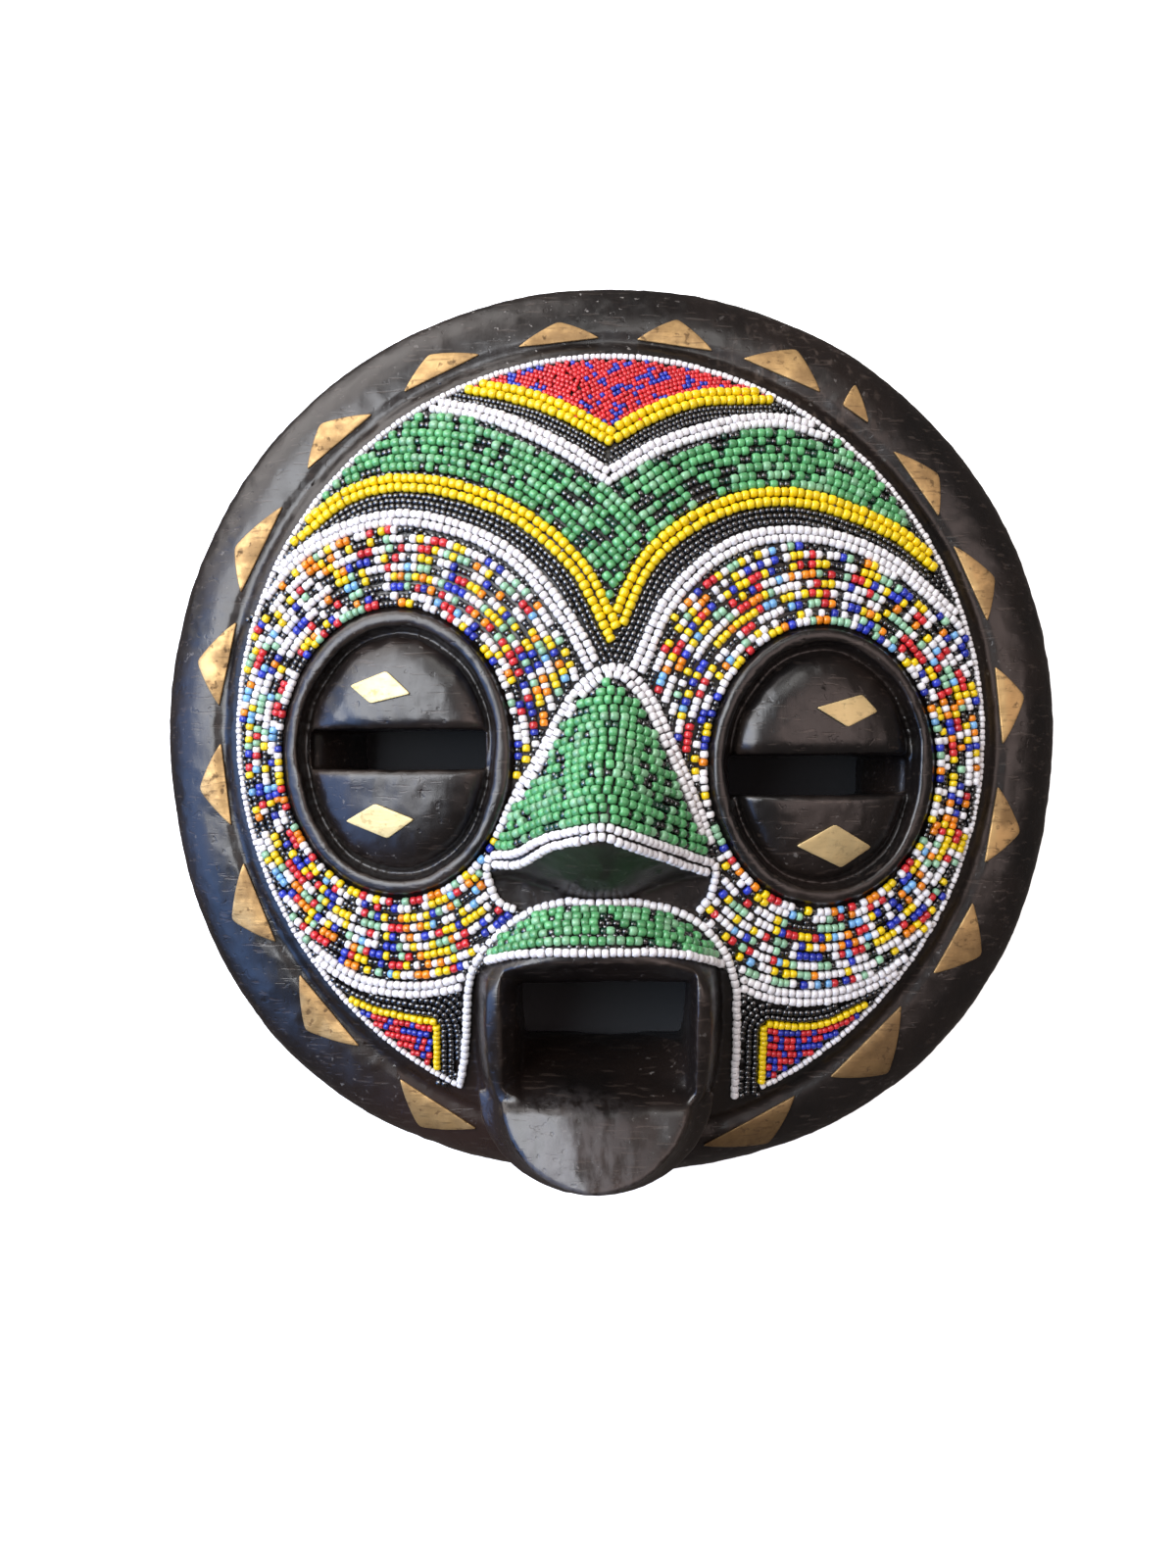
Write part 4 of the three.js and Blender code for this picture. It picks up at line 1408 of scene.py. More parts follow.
def sideways(line: Array) -> Array:
    """Unit vectors to the left of a line in plan.

    Args:
        line: the line's points.

    Returns:
        One vector a point.
    """
    ahead = np.gradient(line, axis=0)
    ahead /= np.linalg.norm(ahead, axis=1)[:, None]
    return np.column_stack([-ahead[:, 1], ahead[:, 0]])


def extend(line: Array, before: float, after: float) -> Array:
    """A line with straight lengths added at its ends.

    Args:
        line: the line's points.
        before: length added at the start.
        after: length added at the end.

    Returns:
        The longer line.
    """
    start, end = line[0] - line[3], line[-1] - line[-4]
    start, end = start / np.linalg.norm(start), end / np.linalg.norm(end)
    return resample(np.vstack([line[0] + start * before, line, line[-1] + end * after]), 0.6)


def within(plan: Array, outline: Array) -> Array:
    """Which points lie in an outline.

    Args:
        plan: points in plan.
        outline: the outline's points.

    Returns:
        True for the points inside.
    """
    x, y = plan.T
    inside = np.zeros(len(plan), bool)
    for (x1, y1), (x2, y2) in zip(outline, np.roll(outline, -1, axis=0)):
        crosses = (y1 > y) != (y2 > y)
        with np.errstate(divide="ignore", invalid="ignore"):
            inside ^= crosses & (x < (x2 - x1) * (y - y1) / (y2 - y1) + x1)
    return inside


@dataclass(frozen=True)
class BeadSize:
    """A bead's diameter and its length along the thread."""

    diameter: float
    length: float


WHITE_BEAD = BeadSize(2.95, 2.4)
YELLOW_BEAD = BeadSize(3.3, 2.7)
GREEN_BEAD = BeadSize(3.15, 2.7)
DARK_BEAD = BeadSize(2.35, 1.95)
MIXED_BEAD = BeadSize(2.85, 2.25)
BROW_BEAD = BeadSize(2.0, 1.95)
CROWN_BEAD = BeadSize(1.8, 1.5)
CHEEK_BEAD = BeadSize(2.3, 1.9)


@dataclass(frozen=True)
class Palette:
    """The tints of a strand, with their shares and sizes, in short runs and clouds."""

    shares: Tuple[Tuple[Tint, float, BeadSize], ...]
    stay: float = 0.0
    lean: float = 0.0
    cloud: float = 9.0

    def draw(self, chance: random.Random, last: Tint, place: Array) -> Tuple[Tint, BeadSize]:
        """Picks the next bead.

        Args:
            chance: the random numbers.
            last: the last bead's tint, or None at a start.
            place: where the bead goes.

        Returns:
            The bead's tint and size.
        """
        sizes = {tint: size for tint, _, size in self.shares}
        if last is not None and chance.random() < self.stay:
            return last, sizes[last]
        weights = [share for _, share, _ in self.shares]
        if self.lean:
            lump = noise.noise(Vector((place[0] / self.cloud, place[1] / self.cloud, 2.7)))
            weights[0] = max(0.02, weights[0] + self.lean * lump)
            weights[1] = max(0.02, weights[1] - self.lean * lump)
        tint = chance.choices([tint for tint, _, _ in self.shares], weights)[0]
        return tint, sizes[tint]


def in_runs(*tints: Tuple[Tint, float], size: BeadSize) -> Palette:
    """A palette of one bead size whose tints come in short runs and clouds."""
    return Palette(tuple((tint, share, size) for tint, share in tints), stay=0.12, lean=0.45, cloud=6.0)


def plain(tint: Tint, size: BeadSize) -> Palette:
    """A palette of one tint and size."""
    return Palette(((tint, 1.0, size),))


def greens(green: float, dark: float) -> Palette:
    """A palette of greens with small dark beads among them.

    Args:
        green: the share of green.
        dark: the share of black.

    Returns:
        The palette.
    """
    return Palette(((Tint.GREEN, green, GREEN_BEAD), (Tint.BLACK, dark, DARK_BEAD),
                    (Tint.DARK_GREEN, 0.6 * dark, DARK_BEAD), (Tint.MINT, 0.20, GREEN_BEAD)),
                   stay=0.12, lean=0.35, cloud=6.0)


WHITE = plain(Tint.WHITE, WHITE_BEAD)
EDGE_WHITE = plain(Tint.WHITE, BeadSize(2.15, 1.9))
YELLOW = plain(Tint.YELLOW, YELLOW_BEAD)
CHEEK_YELLOW = plain(Tint.YELLOW, BeadSize(2.65, 2.2))
POST_YELLOW = plain(Tint.YELLOW, BeadSize(2.65, 1.8))
CROWN_BLACK = plain(Tint.BLACK, CROWN_BEAD)
BROW_BLACK = plain(Tint.BLACK, BROW_BEAD)
CHEEK_BLACK = plain(Tint.BLACK, CHEEK_BEAD)
FILLING = plain(Tint.BLACK, BeadSize(1.9, 1.7))
GREEN = greens(0.60, 0.17)
GREEN_AND_DARK = greens(0.52, 0.24)
CROWN_RED = in_runs((Tint.RED, 0.80), (Tint.BLUE, 0.20), size=CROWN_BEAD)
CHEEK_RED = in_runs((Tint.RED, 0.60), (Tint.BLUE, 0.40), size=CHEEK_BEAD)
MIXED = Palette(((Tint.BLACK, 0.24, BeadSize(2.1, 1.7)), (Tint.WHITE, 0.29, MIXED_BEAD),
                 (Tint.YELLOW, 0.14, MIXED_BEAD), (Tint.RED, 0.09, MIXED_BEAD), (Tint.BLUE, 0.09, MIXED_BEAD),
                 (Tint.ORANGE, 0.06, MIXED_BEAD), (Tint.SKY, 0.03, MIXED_BEAD),
                 (Tint.SAGE, 0.08, MIXED_BEAD)), stay=0.14)


@dataclass
class Bead:
    """One bead: its middle, its hole's direction, the way out of the wood, its size and its tint."""

    middle: Array
    along: Array
    outward: Array
    size: BeadSize
    tint: Tint


class BeadMesh:
    """The mesh of many beads, each a barrel with a dimpled hole."""

    PROFILE = ((0.0, -0.30), (0.34, -0.48), (0.76, -0.47), (0.98, -0.24))

    def __init__(self, sides: int) -> None:
        """Makes the points and faces of one bead of unit radius and length.

        Args:
            sides: points round a bead.
        """
        half = list(self.PROFILE)
        rings = half[1:] + [(r, -a) for r, a in reversed(half[1:])]
        turn = np.arange(sides) * 2 * math.pi / sides
        points = [[0.0, 0.0, half[0][1]]]
        for radius, axial in rings:
            ring = [radius * np.cos(turn), radius * np.sin(turn), 0 * turn + axial]
            points += np.column_stack(ring).tolist()
        points.append([0.0, 0.0, -half[0][1]])
        last = len(points) - 1
        self.points, self.faces, self.caps = np.array(points), [], []
        for i in range(sides):
            j = (i + 1) % sides
            self.caps.append([0, 1 + j, 1 + i])
            self.caps.append([last, last - sides + i, last - sides + j])
            for ring in range(len(rings) - 1):
                low, high = 1 + ring * sides, 1 + (ring + 1) * sides
                self.faces.append([low + i, low + j, high + j, high + i])

    def build(self, name: str, beads: Sequence[Bead], chance: random.Random) -> bpy.types.Object:
        """Makes one object of many beads, with a material for each tint.

        Args:
            name: the object's name.
            beads: the beads, in millimetres.
            chance: turns each bead about its hole.

        Returns:
            The object, in metres.
        """
        along = np.array([b.along for b in beads])
        across = np.cross(along, np.array([b.outward for b in beads]))
        across /= np.linalg.norm(across, axis=1)[:, None]
        up = np.cross(across, along)
        radius = np.array([b.size.diameter / 2 for b in beads])[:, None, None]
        length = np.array([b.size.length for b in beads])[:, None, None]
        turn = np.array([chance.uniform(0, math.tau) for _ in beads])[:, None]
        x, y, z = self.points.T
        u, v = x * np.cos(turn) - y * np.sin(turn), x * np.sin(turn) + y * np.cos(turn)
        places = np.array([b.middle for b in beads])[:, None, :]
        places = places + length * z[None, :, None] * along[:, None, :]
        places = places + radius * (u[:, :, None] * across[:, None, :] + v[:, :, None] * up[:, None, :])
        shifts = np.arange(len(beads)) * len(self.points)
        tints = sorted({b.tint for b in beads}, key=lambda tint: tint.name)
        mesh = bpy.data.meshes.new(name)
        quads = (shifts[:, None, None] + np.array(self.faces)).reshape(-1, 4)
        caps = (shifts[:, None, None] + np.array(self.caps)).reshape(-1, 3)
        fill_mesh(mesh, places.reshape(-1, 3) * MM, quads, caps)
        index = np.array([tints.index(b.tint) for b in beads])
        slots = np.concatenate([np.repeat(index, len(self.faces)), np.repeat(index, len(self.caps))])
        for tint in tints:
            mesh.materials.append(glass(tint))
        mesh.polygons.foreach_set("material_index", slots.astype(np.int32))
        return put_in_scene(name, mesh)


def fill_mesh(mesh: bpy.types.Mesh, points: Array, quads: Array, triangles: Array) -> None:
    """Fills a mesh with points, four-sided faces and then three-sided ones.

    Args:
        mesh: the empty mesh.
        points: its points.
        quads: its four-sided faces.
        triangles: its three-sided faces.
    """
    corners = np.concatenate([quads.ravel(), triangles.ravel()]).astype(np.int32)
    sides = np.concatenate([np.full(len(quads), 4), np.full(len(triangles), 3)])
    mesh.vertices.add(len(points))
    mesh.vertices.foreach_set("co", points.astype(np.float32).ravel())
    mesh.loops.add(len(corners))
    mesh.loops.foreach_set("vertex_index", corners)
    mesh.polygons.add(len(sides))
    mesh.polygons.foreach_set("loop_start", (np.cumsum(sides) - sides).astype(np.int32))
    mesh.update(calc_edges=True)


MADE: Dict[Tint, bpy.types.Material] = {}


def glass(tint: Tint) -> bpy.types.Material:
    """A tint's material, made once.

    Args:
        tint: the tint.

    Returns:
        The material.
    """
    if tint not in MADE:
        MADE[tint] = tint.value.material()
    return MADE[tint]


class Beadwork:
    """The beads, threaded strand by strand so that none runs into another strand."""

    CELL = 4.0
    PRESS = 0.86
    SINK = 0.94
    STRAY = 0.09
    TILT = 0.05
    APART = 1.03
    SKIP = 0.4
    # How much the beads' diameters and lengths differ
    UNEVEN = (0.035, 0.07)
    # Places in plan where a bead has turned its hole outwards
    TURNED = ((-1.3, 97.9), (16.7, 7.2), (9.7, 64.5), (31.9, -59.8), (42.2, -81.7), (34.9, -77.6))

    def __init__(self, relief: Relief, disc: Disc) -> None:
        """Starts with bare wood.

        Args:
            relief: the wood's relief.
            disc: the plate, for its edge.
        """
        self.relief, self.disc = relief, disc
        self.to_turn = [np.array(spot) for spot in self.TURNED]
        self.chance = random.Random(1914)
        self.pieces: Dict[str, List[Bead]] = {}
        self.cells: Dict[Tuple[int, int], List[Tuple[Array, float, int]]] = {}
        self.strands = 0

    def blocked(self, middle: Array, radius: float) -> bool:
        """Whether a bead here would run into a bead of another strand.

        Args:
            middle: the bead's middle.
            radius: its radius.

        Returns:
            True if it would.
        """
        i, j = int(middle[0] // self.CELL), int(middle[1] // self.CELL)
        for cell in ((i + a, j + b) for a in (-1, 0, 1) for b in (-1, 0, 1)):
            for other, other_radius, strand in self.cells.get(cell, ()):
                reach = self.PRESS * (radius + other_radius)
                if strand != self.strands and np.sum((other - middle) ** 2) < reach * reach:
                    return True
        return False

    def add(self, piece: str, middle: Array, along: Array, outward: Array, size: BeadSize,
            tint: Tint) -> None:
        """Puts one bead down.

        Args:
            piece: the piece it belongs to.
            middle: its middle.
            along: its hole's direction.
            outward: the wood's normal.
            size: its size.
            tint: its tint.
        """
        self.pieces.setdefault(piece, []).append(Bead(middle, along, outward, size, tint))
        cell = int(middle[0] // self.CELL), int(middle[1] // self.CELL)
        self.cells.setdefault(cell, []).append((middle, size.diameter / 2, self.strands))

    def strand(self, piece: str, line: Array, palette: Palette, outline: Array = None) -> None:
        """Threads beads along a line in plan.

        Args:
            piece: the piece that the beads belong to.
            line: the line's points in plan.
            palette: the beads' tints and sizes.
            outline: where beads may lie, or None for anywhere.
        """
        track = Track(self.relief, line)
        free = np.ones(len(track.plan), bool) if outline is None else within(track.plan, outline)
        self.strands += 1
        at, last = self.chance.uniform(0.0, 1.0), None
        while at < track.lengths[-1]:
            i = int(np.searchsorted(track.lengths, at))
            if not free[i]:
                at, last = at + Track.STEP, None
                continue
            tint, size = palette.draw(self.chance, last, track.places[i])
            wider, longer = (self.chance.gauss(1, spread) for spread in self.UNEVEN)
            size = BeadSize(size.diameter * wider, size.length * longer)
            i = int(np.searchsorted(track.lengths, at + size.length / 2))
            if i >= len(track.plan):
                break
            across = np.cross(track.normals[i], track.directions[i])
            middle = track.places[i] + track.normals[i] * (self.SINK * size.diameter / 2)
            middle = middle + across * self.chance.gauss(0, self.STRAY)
            if not free[i] or self.blocked(middle, size.diameter / 2):
                at, last = at + self.SKIP, None
                continue
            along = track.directions[i] + np.array([self.chance.gauss(0, self.TILT) for _ in range(3)])
            if self.turns_out(middle):
                along = track.normals[i] + 0.35 * track.directions[i]
            self.add(piece, middle, along / np.linalg.norm(along), track.normals[i], size, tint)
            at, last = at + size.length * self.APART, tint

    def turns_out(self, middle: Array) -> bool:
        """Whether this bead is one that has turned its hole outwards.

        Args:
            middle: the bead's middle.

        Returns:
            True for such a bead.
        """
        for i, spot in enumerate(self.to_turn):
            if np.hypot(*(middle[:2] - spot)) < 1.6:
                self.to_turn.pop(i)
                return True
        return False

    def beside(self, line: Array, offset: float, spacing: float = 3.2) -> Array:
        """A line moved sideways over the wood, to the left if the offset is positive.

        Args:
            line: the first line in plan.
            offset: how far to move it over the wood.
            spacing: the longest single step.

        Returns:
            The moved line.
        """
        steps = max(1, math.ceil(abs(offset) / spacing))
        for _ in range(steps):
            way = sideways(line) * math.copysign(1.0, offset)
            slope = np.sum(self.relief.slopes(line, 1.4) * way, axis=1)
            reach = abs(offset) / steps / np.sqrt(1 + slope ** 2)
            line = soften(resample(soften(line + way * soften(reach[:, None], 9), 2), 0.6), 2)
        return line

    def rows(self, piece: str, base: Array, first: float, spacing: float, count: int, palette: Palette,
             outline: Array) -> None:
        """Threads rows of beads side by side from a base line.

        Args:
            piece: the piece that the beads belong to.
            base: the base line in plan.
            first: the first row's distance to the left, or to the right if negative.
            spacing: the distance between rows, in the same sense.
            count: the number of rows.
            palette: the beads' tints and sizes.
            outline: where beads may lie.
        """
        line = self.beside(base, first)
        for _ in range(count):
            self.strand(piece, line, palette, outline)
            line = self.beside(line, spacing)

    def fill(self, piece: str, palette: Palette, outline: Array, hole: Array = None,
             pitch: float = 0.5) -> None:
        """Puts single beads wherever the rows in an outline have left room for one.

        Args:
            piece: the piece that the beads belong to.
            palette: the beads' tints and sizes.
            outline: where beads may lie.
            hole: an outline inside it to keep clear, or None.
            pitch: the distance between the places tried.
        """
        low, high = outline.min(axis=0), outline.max(axis=0)
        across, up = (np.arange(a, b, pitch) for a, b in zip(low, high))
        places = np.stack(np.meshgrid(across, up), axis=-1).reshape(-1, 2)
        places = places[within(places, outline)]
        places = places if hole is None else places[~within(places, hole)]
        normals, heights = self.relief.normals(places), self.relief.heights(places)
        for place, normal, height in zip(places, normals, heights):
            tint, size = palette.draw(self.chance, None, place)
            middle = np.array([*place, height]) + normal * (self.SINK * size.diameter / 2)
            self.strands += 1
            if not self.blocked(middle, size.diameter / 2):
                turn = self.chance.uniform(-0.5, 0.5)
                along = np.cross(normal, np.array([math.sin(turn), math.cos(turn), 0.0]))
                self.add(piece, middle, along / np.linalg.norm(along), normal, size, tint)

    def finish(self) -> None:
        """Makes each piece's mesh."""
        mesh = BeadMesh(10)
        for name, beads in self.pieces.items():
            slot = SLOTS[name.split("_")[0]]
            declare(mesh.build("beads_" + name, beads, self.chance), slot, name)


SLOTS = {"white": "white_beads", "yellow": "yellow_beads", "green": "green_beads", "black": "black_beads",
         "red": "red_blue_beads", "mixed": "mixed_beads"}


def soften(values: Array, reach: int) -> Array:
    """Each row averaged with its neighbours, with the ends kept.

    Args:
        values: one row a point.
        reach: neighbours on each side.

    Returns:
        The averages.
    """
    if len(values) < 2 * reach + 2:
        return values
    before, after = values[reach:0:-1], values[-2:-reach - 2:-1]
    padded = np.vstack([2 * values[0] - before, values, 2 * values[-1] - after])
    kernel = np.ones(2 * reach + 1) / (2 * reach + 1)
    return np.column_stack([np.convolve(column, kernel, "valid") for column in padded.T])


# The face's lines as control points in plan, from left to right or from the top down
LINES: Dict[str, List[Tuple[float, float]]] = {
    "crown_yellow_left": [(-52, 114.5), (-29, 108.5), (-14, 102), (-0.5, 94)],
    "crown_yellow_right": [(-0.5, 94), (13, 102), (29, 108), (52, 110)],
    "crown_white_left": [(-60, 107), (-40, 102), (-19, 92), (-1.5, 80.5)],
    "crown_white_right": [(-1.5, 80.5), (16, 91), (39, 99), (56, 101), (72, 97)],
    "brow_yellow_left": [(-108, 61), (-85, 77), (-62, 79), (-34, 70), (-12, 52), (0, 30)],
    "brow_yellow_right": [(0, 30), (13, 55), (37, 71), (63, 74), (91, 65), (107, 54)],
    "arc_left": [(-121, 36), (-103, 57), (-79, 67), (-57, 66), (-33, 55), (-16, 36), (-5, 17)],
    "arc_right": [(7.5, 17), (19, 41), (39, 58), (63, 62), (89, 55), (115, 35)],
    "nose_top": [(-37, -37), (-31, -25), (-23, -12), (-17, 0), (-9, 12), (1, 17), (9.5, 9.5), (16.5, -5),
                 (22.5, -19), (30, -38)],
    "nose_left": [(-38, -39.5), (-39.8, -48), (-37, -56), (-30, -59.5)],
    "nose_right": [(31.5, -41), (32.5, -48), (31, -55), (27, -60)],
    "nose_tip": [(-38, -44), (-32, -43.6), (-27, -41.9), (-22.5, -39.4), (-17.5, -37.3), (-9, -35.4),
                 (-3, -34.6), (4, -36.8), (9.5, -38.5), (18, -41.6), (25.5, -44.6), (30.5, -46.2)],
    "lip_top": [(-46.5, -84), (-42, -75), (-33, -64.5), (-22, -58.5), (-5, -56), (12, -57.5), (26, -62),
                (36, -73), (40, -84)],
    "mouth_left": [(-46.5, -84), (-47.5, -97), (-48.5, -108), (-50.5, -119)],
    "mouth_right": [(40, -84), (40.5, -100), (40.5, -122)],
    "lip_edge": [(-40, -76), (-26, -72.5), (-5, -71.5), (17, -72.5), (34.5, -77)],
    "cheek_left": [(-101, -72), (-86, -82.5), (-73, -85.5), (-60, -85.5), (-46, -82)],
    "cheek_right": [(40, -82.5), (52, -87), (63, -88.5), (75, -87.5), (86, -84), (101, -75)],
    "angle_left": [(-88, -89), (-79, -93), (-66, -95.5), (-57.5, -96.5)],
    "post_left": [(-57.5, -96.5), (-58, -118)],
    "angle_right": [(49.5, -96.5), (58, -98), (70, -97.5), (84, -91.5)],
    "post_right": [(49.5, -96.5), (49.5, -122)],
    "green_rows_left": [(-92, 86), (-72, 91), (-50, 89), (-28, 80), (-10, 66), (2, 53), (14, 38)],
    "green_rows_right": [(-2, 63), (10, 71.5), (28, 83), (50, 87.5), (72, 86), (90, 79)],
}


@dataclass
class FaceBeads:
    """The bands and fields of beads on the face."""

    work: Beadwork
    edge_inset: float = 2.4
    strand_inset: float = 4.0
    field_inset: float = 3.6
    edge_end: float = 157.5
    white_apart: float = 2.95
    yellow_apart: float = 3.4
    green_row: float = 3.15
    mixed_row: float = 3.25
    crown_row: float = 1.75
    brow_row: float = 1.93
    cheek_row: float = 2.4
    corner_row: float = 2.7
    crown_seam: Corners = ((-5.0, 99.0), (-10.5, 102.0), (-7.5, 105.5), (-13.0, 109.0), (-9.5, 113.0),
                           (-14.5, 117.0), (-12.5, 121.7))
    brow_seam: Corners = ((10.0, 62.0), (19.0, 60.0))

    def __post_init__(self) -> None:
        """Draws the lines."""
        self.lines = {name: spline(points) for name, points in LINES.items()}

    def edge(self, start: float, end: float, inset: float) -> Array:
        """Points round the face's edge between two angles in degrees.

        Args:
            start: the first angle.
            end: the last angle.
            inset: how far in.

        Returns:
            The points.
        """
        angle = np.radians(np.linspace(start, end, max(3, int(abs(end - start)) + 1)))
        return np.column_stack(around(angle, self.work.disc.face_radius(angle) - inset))

    def outline(self, *parts: object) -> Array:
        """Joins lines into an outline, with the face's edge where a part is "edge".

        Args:
            parts: a line's name, the name after a minus sign for the line from its end, "edge", or points.

        Returns:
            The outline's points.
        """
        joined: List[Array] = []
        for part in parts:
            if isinstance(part, str) and part != "edge":
                joined.append(self.lines[part[1:]][::-1] if part[0] == "-" else self.lines[part])
            else:
                joined.append(part if isinstance(part, str) else np.array(part, float))
        for i, part in enumerate(joined):
            if isinstance(part, str):
                after = joined[(i + 1) % len(joined)][0]
                start, end = (math.degrees(math.atan2(*p)) for p in (joined[i - 1][-1], after))
                joined[i] = self.edge(start, end, self.field_inset)
        return np.vstack(joined)

    def outlines(self) -> None:
        """Threads the white and yellow strands, which the fields run up to."""
        work, lines = self.work, self.lines
        edge = self.edge(-self.edge_end, self.edge_end, self.edge_inset)
        work.strand("white_edge_strand", edge, EDGE_WHITE)
        mouth = np.vstack([lines["mouth_left"][::-1], lines["lip_top"][1:], lines["mouth_right"][1:]])
        work.strand("white_mouth_outline", soften(resample(mouth, 0.6), 4), WHITE)
        for side, tip_side in ((0.5, 0.78), (-0.5, -0.14)):
            self.pair("white_nose_outline", "nose_top", side)
            self.pair("white_nose_tip_strands", "nose_tip", tip_side)
        for name in ("nose_left", "nose_right"):
            work.strand("white_nose_outline", lines[name], WHITE)
        work.strand("white_lip_edge_strand", lines["lip_edge"], WHITE)
        for side in (0.5, -0.5):
            for arm in ("left", "right"):
                self.pair("white_eye_arc_" + arm, "arc_" + arm, side)
                self.pair("white_cheek_band_" + arm, "cheek_" + arm, side)
                self.pair("white_crown_chevron", "crown_white_" + arm, side)
                self.pair("yellow_crown_chevron", "crown_yellow_" + arm, side)
                self.pair("yellow_brow_chevron", "brow_yellow_" + arm, side)
        inside = self.edge(-180, 180, self.strand_inset)
        for arm in ("left", "right"):
            for part, palette in (("angle_", CHEEK_YELLOW), ("post_", POST_YELLOW)):
                work.strand("yellow_cheek_angle_" + arm, lines[part + arm], palette, inside)

    def pair(self, piece: str, name: str, side: float) -> None:
        """Threads one strand of a pair, half the gap to one side of the line.

        Args:
            piece: the piece it belongs to.
            name: the line's name.
            side: 0.5 for the left strand, -0.5 for the right one.
        """
        yellow = piece.startswith("yellow")
        apart = self.yellow_apart if yellow else self.white_apart
        line = self.work.beside(self.lines[name], apart * side)
        if "chevron" in piece and side < 0:
            line = extend(line, *((0, 2.2) if name.endswith("left") else (1.2, 0)))
        self.work.strand(piece, line, YELLOW if yellow else WHITE, self.edge(-180, 180, self.strand_inset))

    def fields(self) -> None:
        """Fills the fields with rows."""
        work, lines = self.work, self.lines
        self.crown()
        self.brow()
        self.eyes()
        first = 3.8 + self.green_row / 2
        work.rows("green_nose_field", lines["nose_tip"], first, self.green_row, 20, GREEN,
                  self.outline("nose_top", "-nose_tip"))
        work.rows("green_lip_field", lines["lip_edge"], 1.5 + self.green_row / 2, self.green_row, 5, GREEN,
                  self.outline("lip_top", "-lip_edge"))
        work.fill("green_nose_field", FILLING, self.outline("nose_top", "-nose_tip"))
        work.fill("green_lip_field", FILLING, self.outline("lip_top", "-lip_edge"))
        self.cheeks()

    def crown(self) -> None:
        """Fills the red and blue field at the top and the black band under it."""
        first = self.yellow_apart + self.crown_row / 2
        seam = self.crown_seam
        fields = {
            "left": ["crown_yellow_left", seam, "edge"],
            "right": ["crown_yellow_right", "edge", seam[::-1]],
        }
        bands = {
            "left": ["crown_yellow_left", "-crown_white_left", "edge"],
            "right": ["crown_yellow_right", "edge", "-crown_white_right"],
        }
        for arm, start, end in (("right", 36, 0), ("left", 0, 20)):
            base, row = extend(self.lines["crown_yellow_" + arm], start, end), self.crown_row
            field_outline, band_outline = self.outline(*fields[arm]), self.outline(*bands[arm])
            self.work.rows("red_blue_crown_field", base, first, row, 22, CROWN_RED, field_outline)
            self.work.rows("black_crown_band", base, -first, -row, 5, CROWN_BLACK, band_outline)
        for arm in ("left", "right"):
            self.work.fill("red_blue_crown_field", CROWN_RED, self.outline(*fields[arm]))
            self.work.fill("black_crown_band", CROWN_BLACK, self.outline(*bands[arm]))

    def brow(self) -> None:
        """Fills the green field between the chevrons and the black band under it."""
        first = self.yellow_apart + self.brow_row / 2
        right = self.lines["brow_yellow_right"]
        cut = int(np.argmin(np.hypot(*(right - self.brow_seam[-1]).T)))
        fields = {
            "left": ["crown_white_left", self.brow_seam, right[:cut][::-1], "-brow_yellow_left", "edge"],
            "right": ["crown_white_right", "edge", right[cut:][::-1], self.brow_seam[::-1]],
        }
        bands = {
            "left": ["brow_yellow_left", [(1.0, 17.0)], "-arc_left", "edge"],
            "right": ["brow_yellow_right", "edge", "-arc_right", [(1.0, 17.0)]],
        }
        for arm, start, end, palette in (("left", 0, 16, GREEN), ("right", 16, 0, GREEN_AND_DARK)):
            base, outline = self.lines["green_rows_" + arm], self.outline(*fields[arm])
            base = extend(base, 12, 12)
            self.work.strand("green_brow_field", base, palette, outline)
            for side in (1, -1):
                self.work.rows("green_brow_field", base, side * self.green_row, side * self.green_row, 10,
                               palette, outline)
            base = extend(self.lines["brow_yellow_" + arm], start, end)
            self.work.rows("black_brow_band", base, -first, -self.brow_row, 7, BROW_BLACK,
                           self.outline(*bands[arm]))
        for arm in ("left", "right"):
            self.work.fill("black_brow_band", BROW_BLACK, self.outline(*bands[arm]))
            self.work.fill("green_brow_field", FILLING, self.outline(*fields[arm]))

    def eyes(self) -> None:
        """Fills the fields round the eyes with rows that follow the eyes."""
        nose = self.lines["nose_top"]
        top = int(np.argmax(nose[:, 1]))
        fields = {
            "left": ["arc_left", nose[:top][::-1], "nose_left", [(-42.0, -75.0)], "-cheek_left", "edge"],
            "right": ["arc_right", "edge", "-cheek_right", [(36.0, -73.0)], "-nose_right", nose[top:][::-1]],
        }
        for arm, parts in fields.items():
            loop = EYES[arm].outline(0.0, 240)
            loop = np.roll(loop, 60 if arm == "right" else -60, axis=0)
            loop = np.vstack([loop, loop[:1]])
            name, outline = "mixed_eye_field_" + arm, self.outline(*parts)
            self.work.rows(name, loop, 1.5, self.mixed_row, 20, MIXED, outline)
            self.work.fill(name, FILLING, outline, EYES[arm].outline(-1.0, 120))

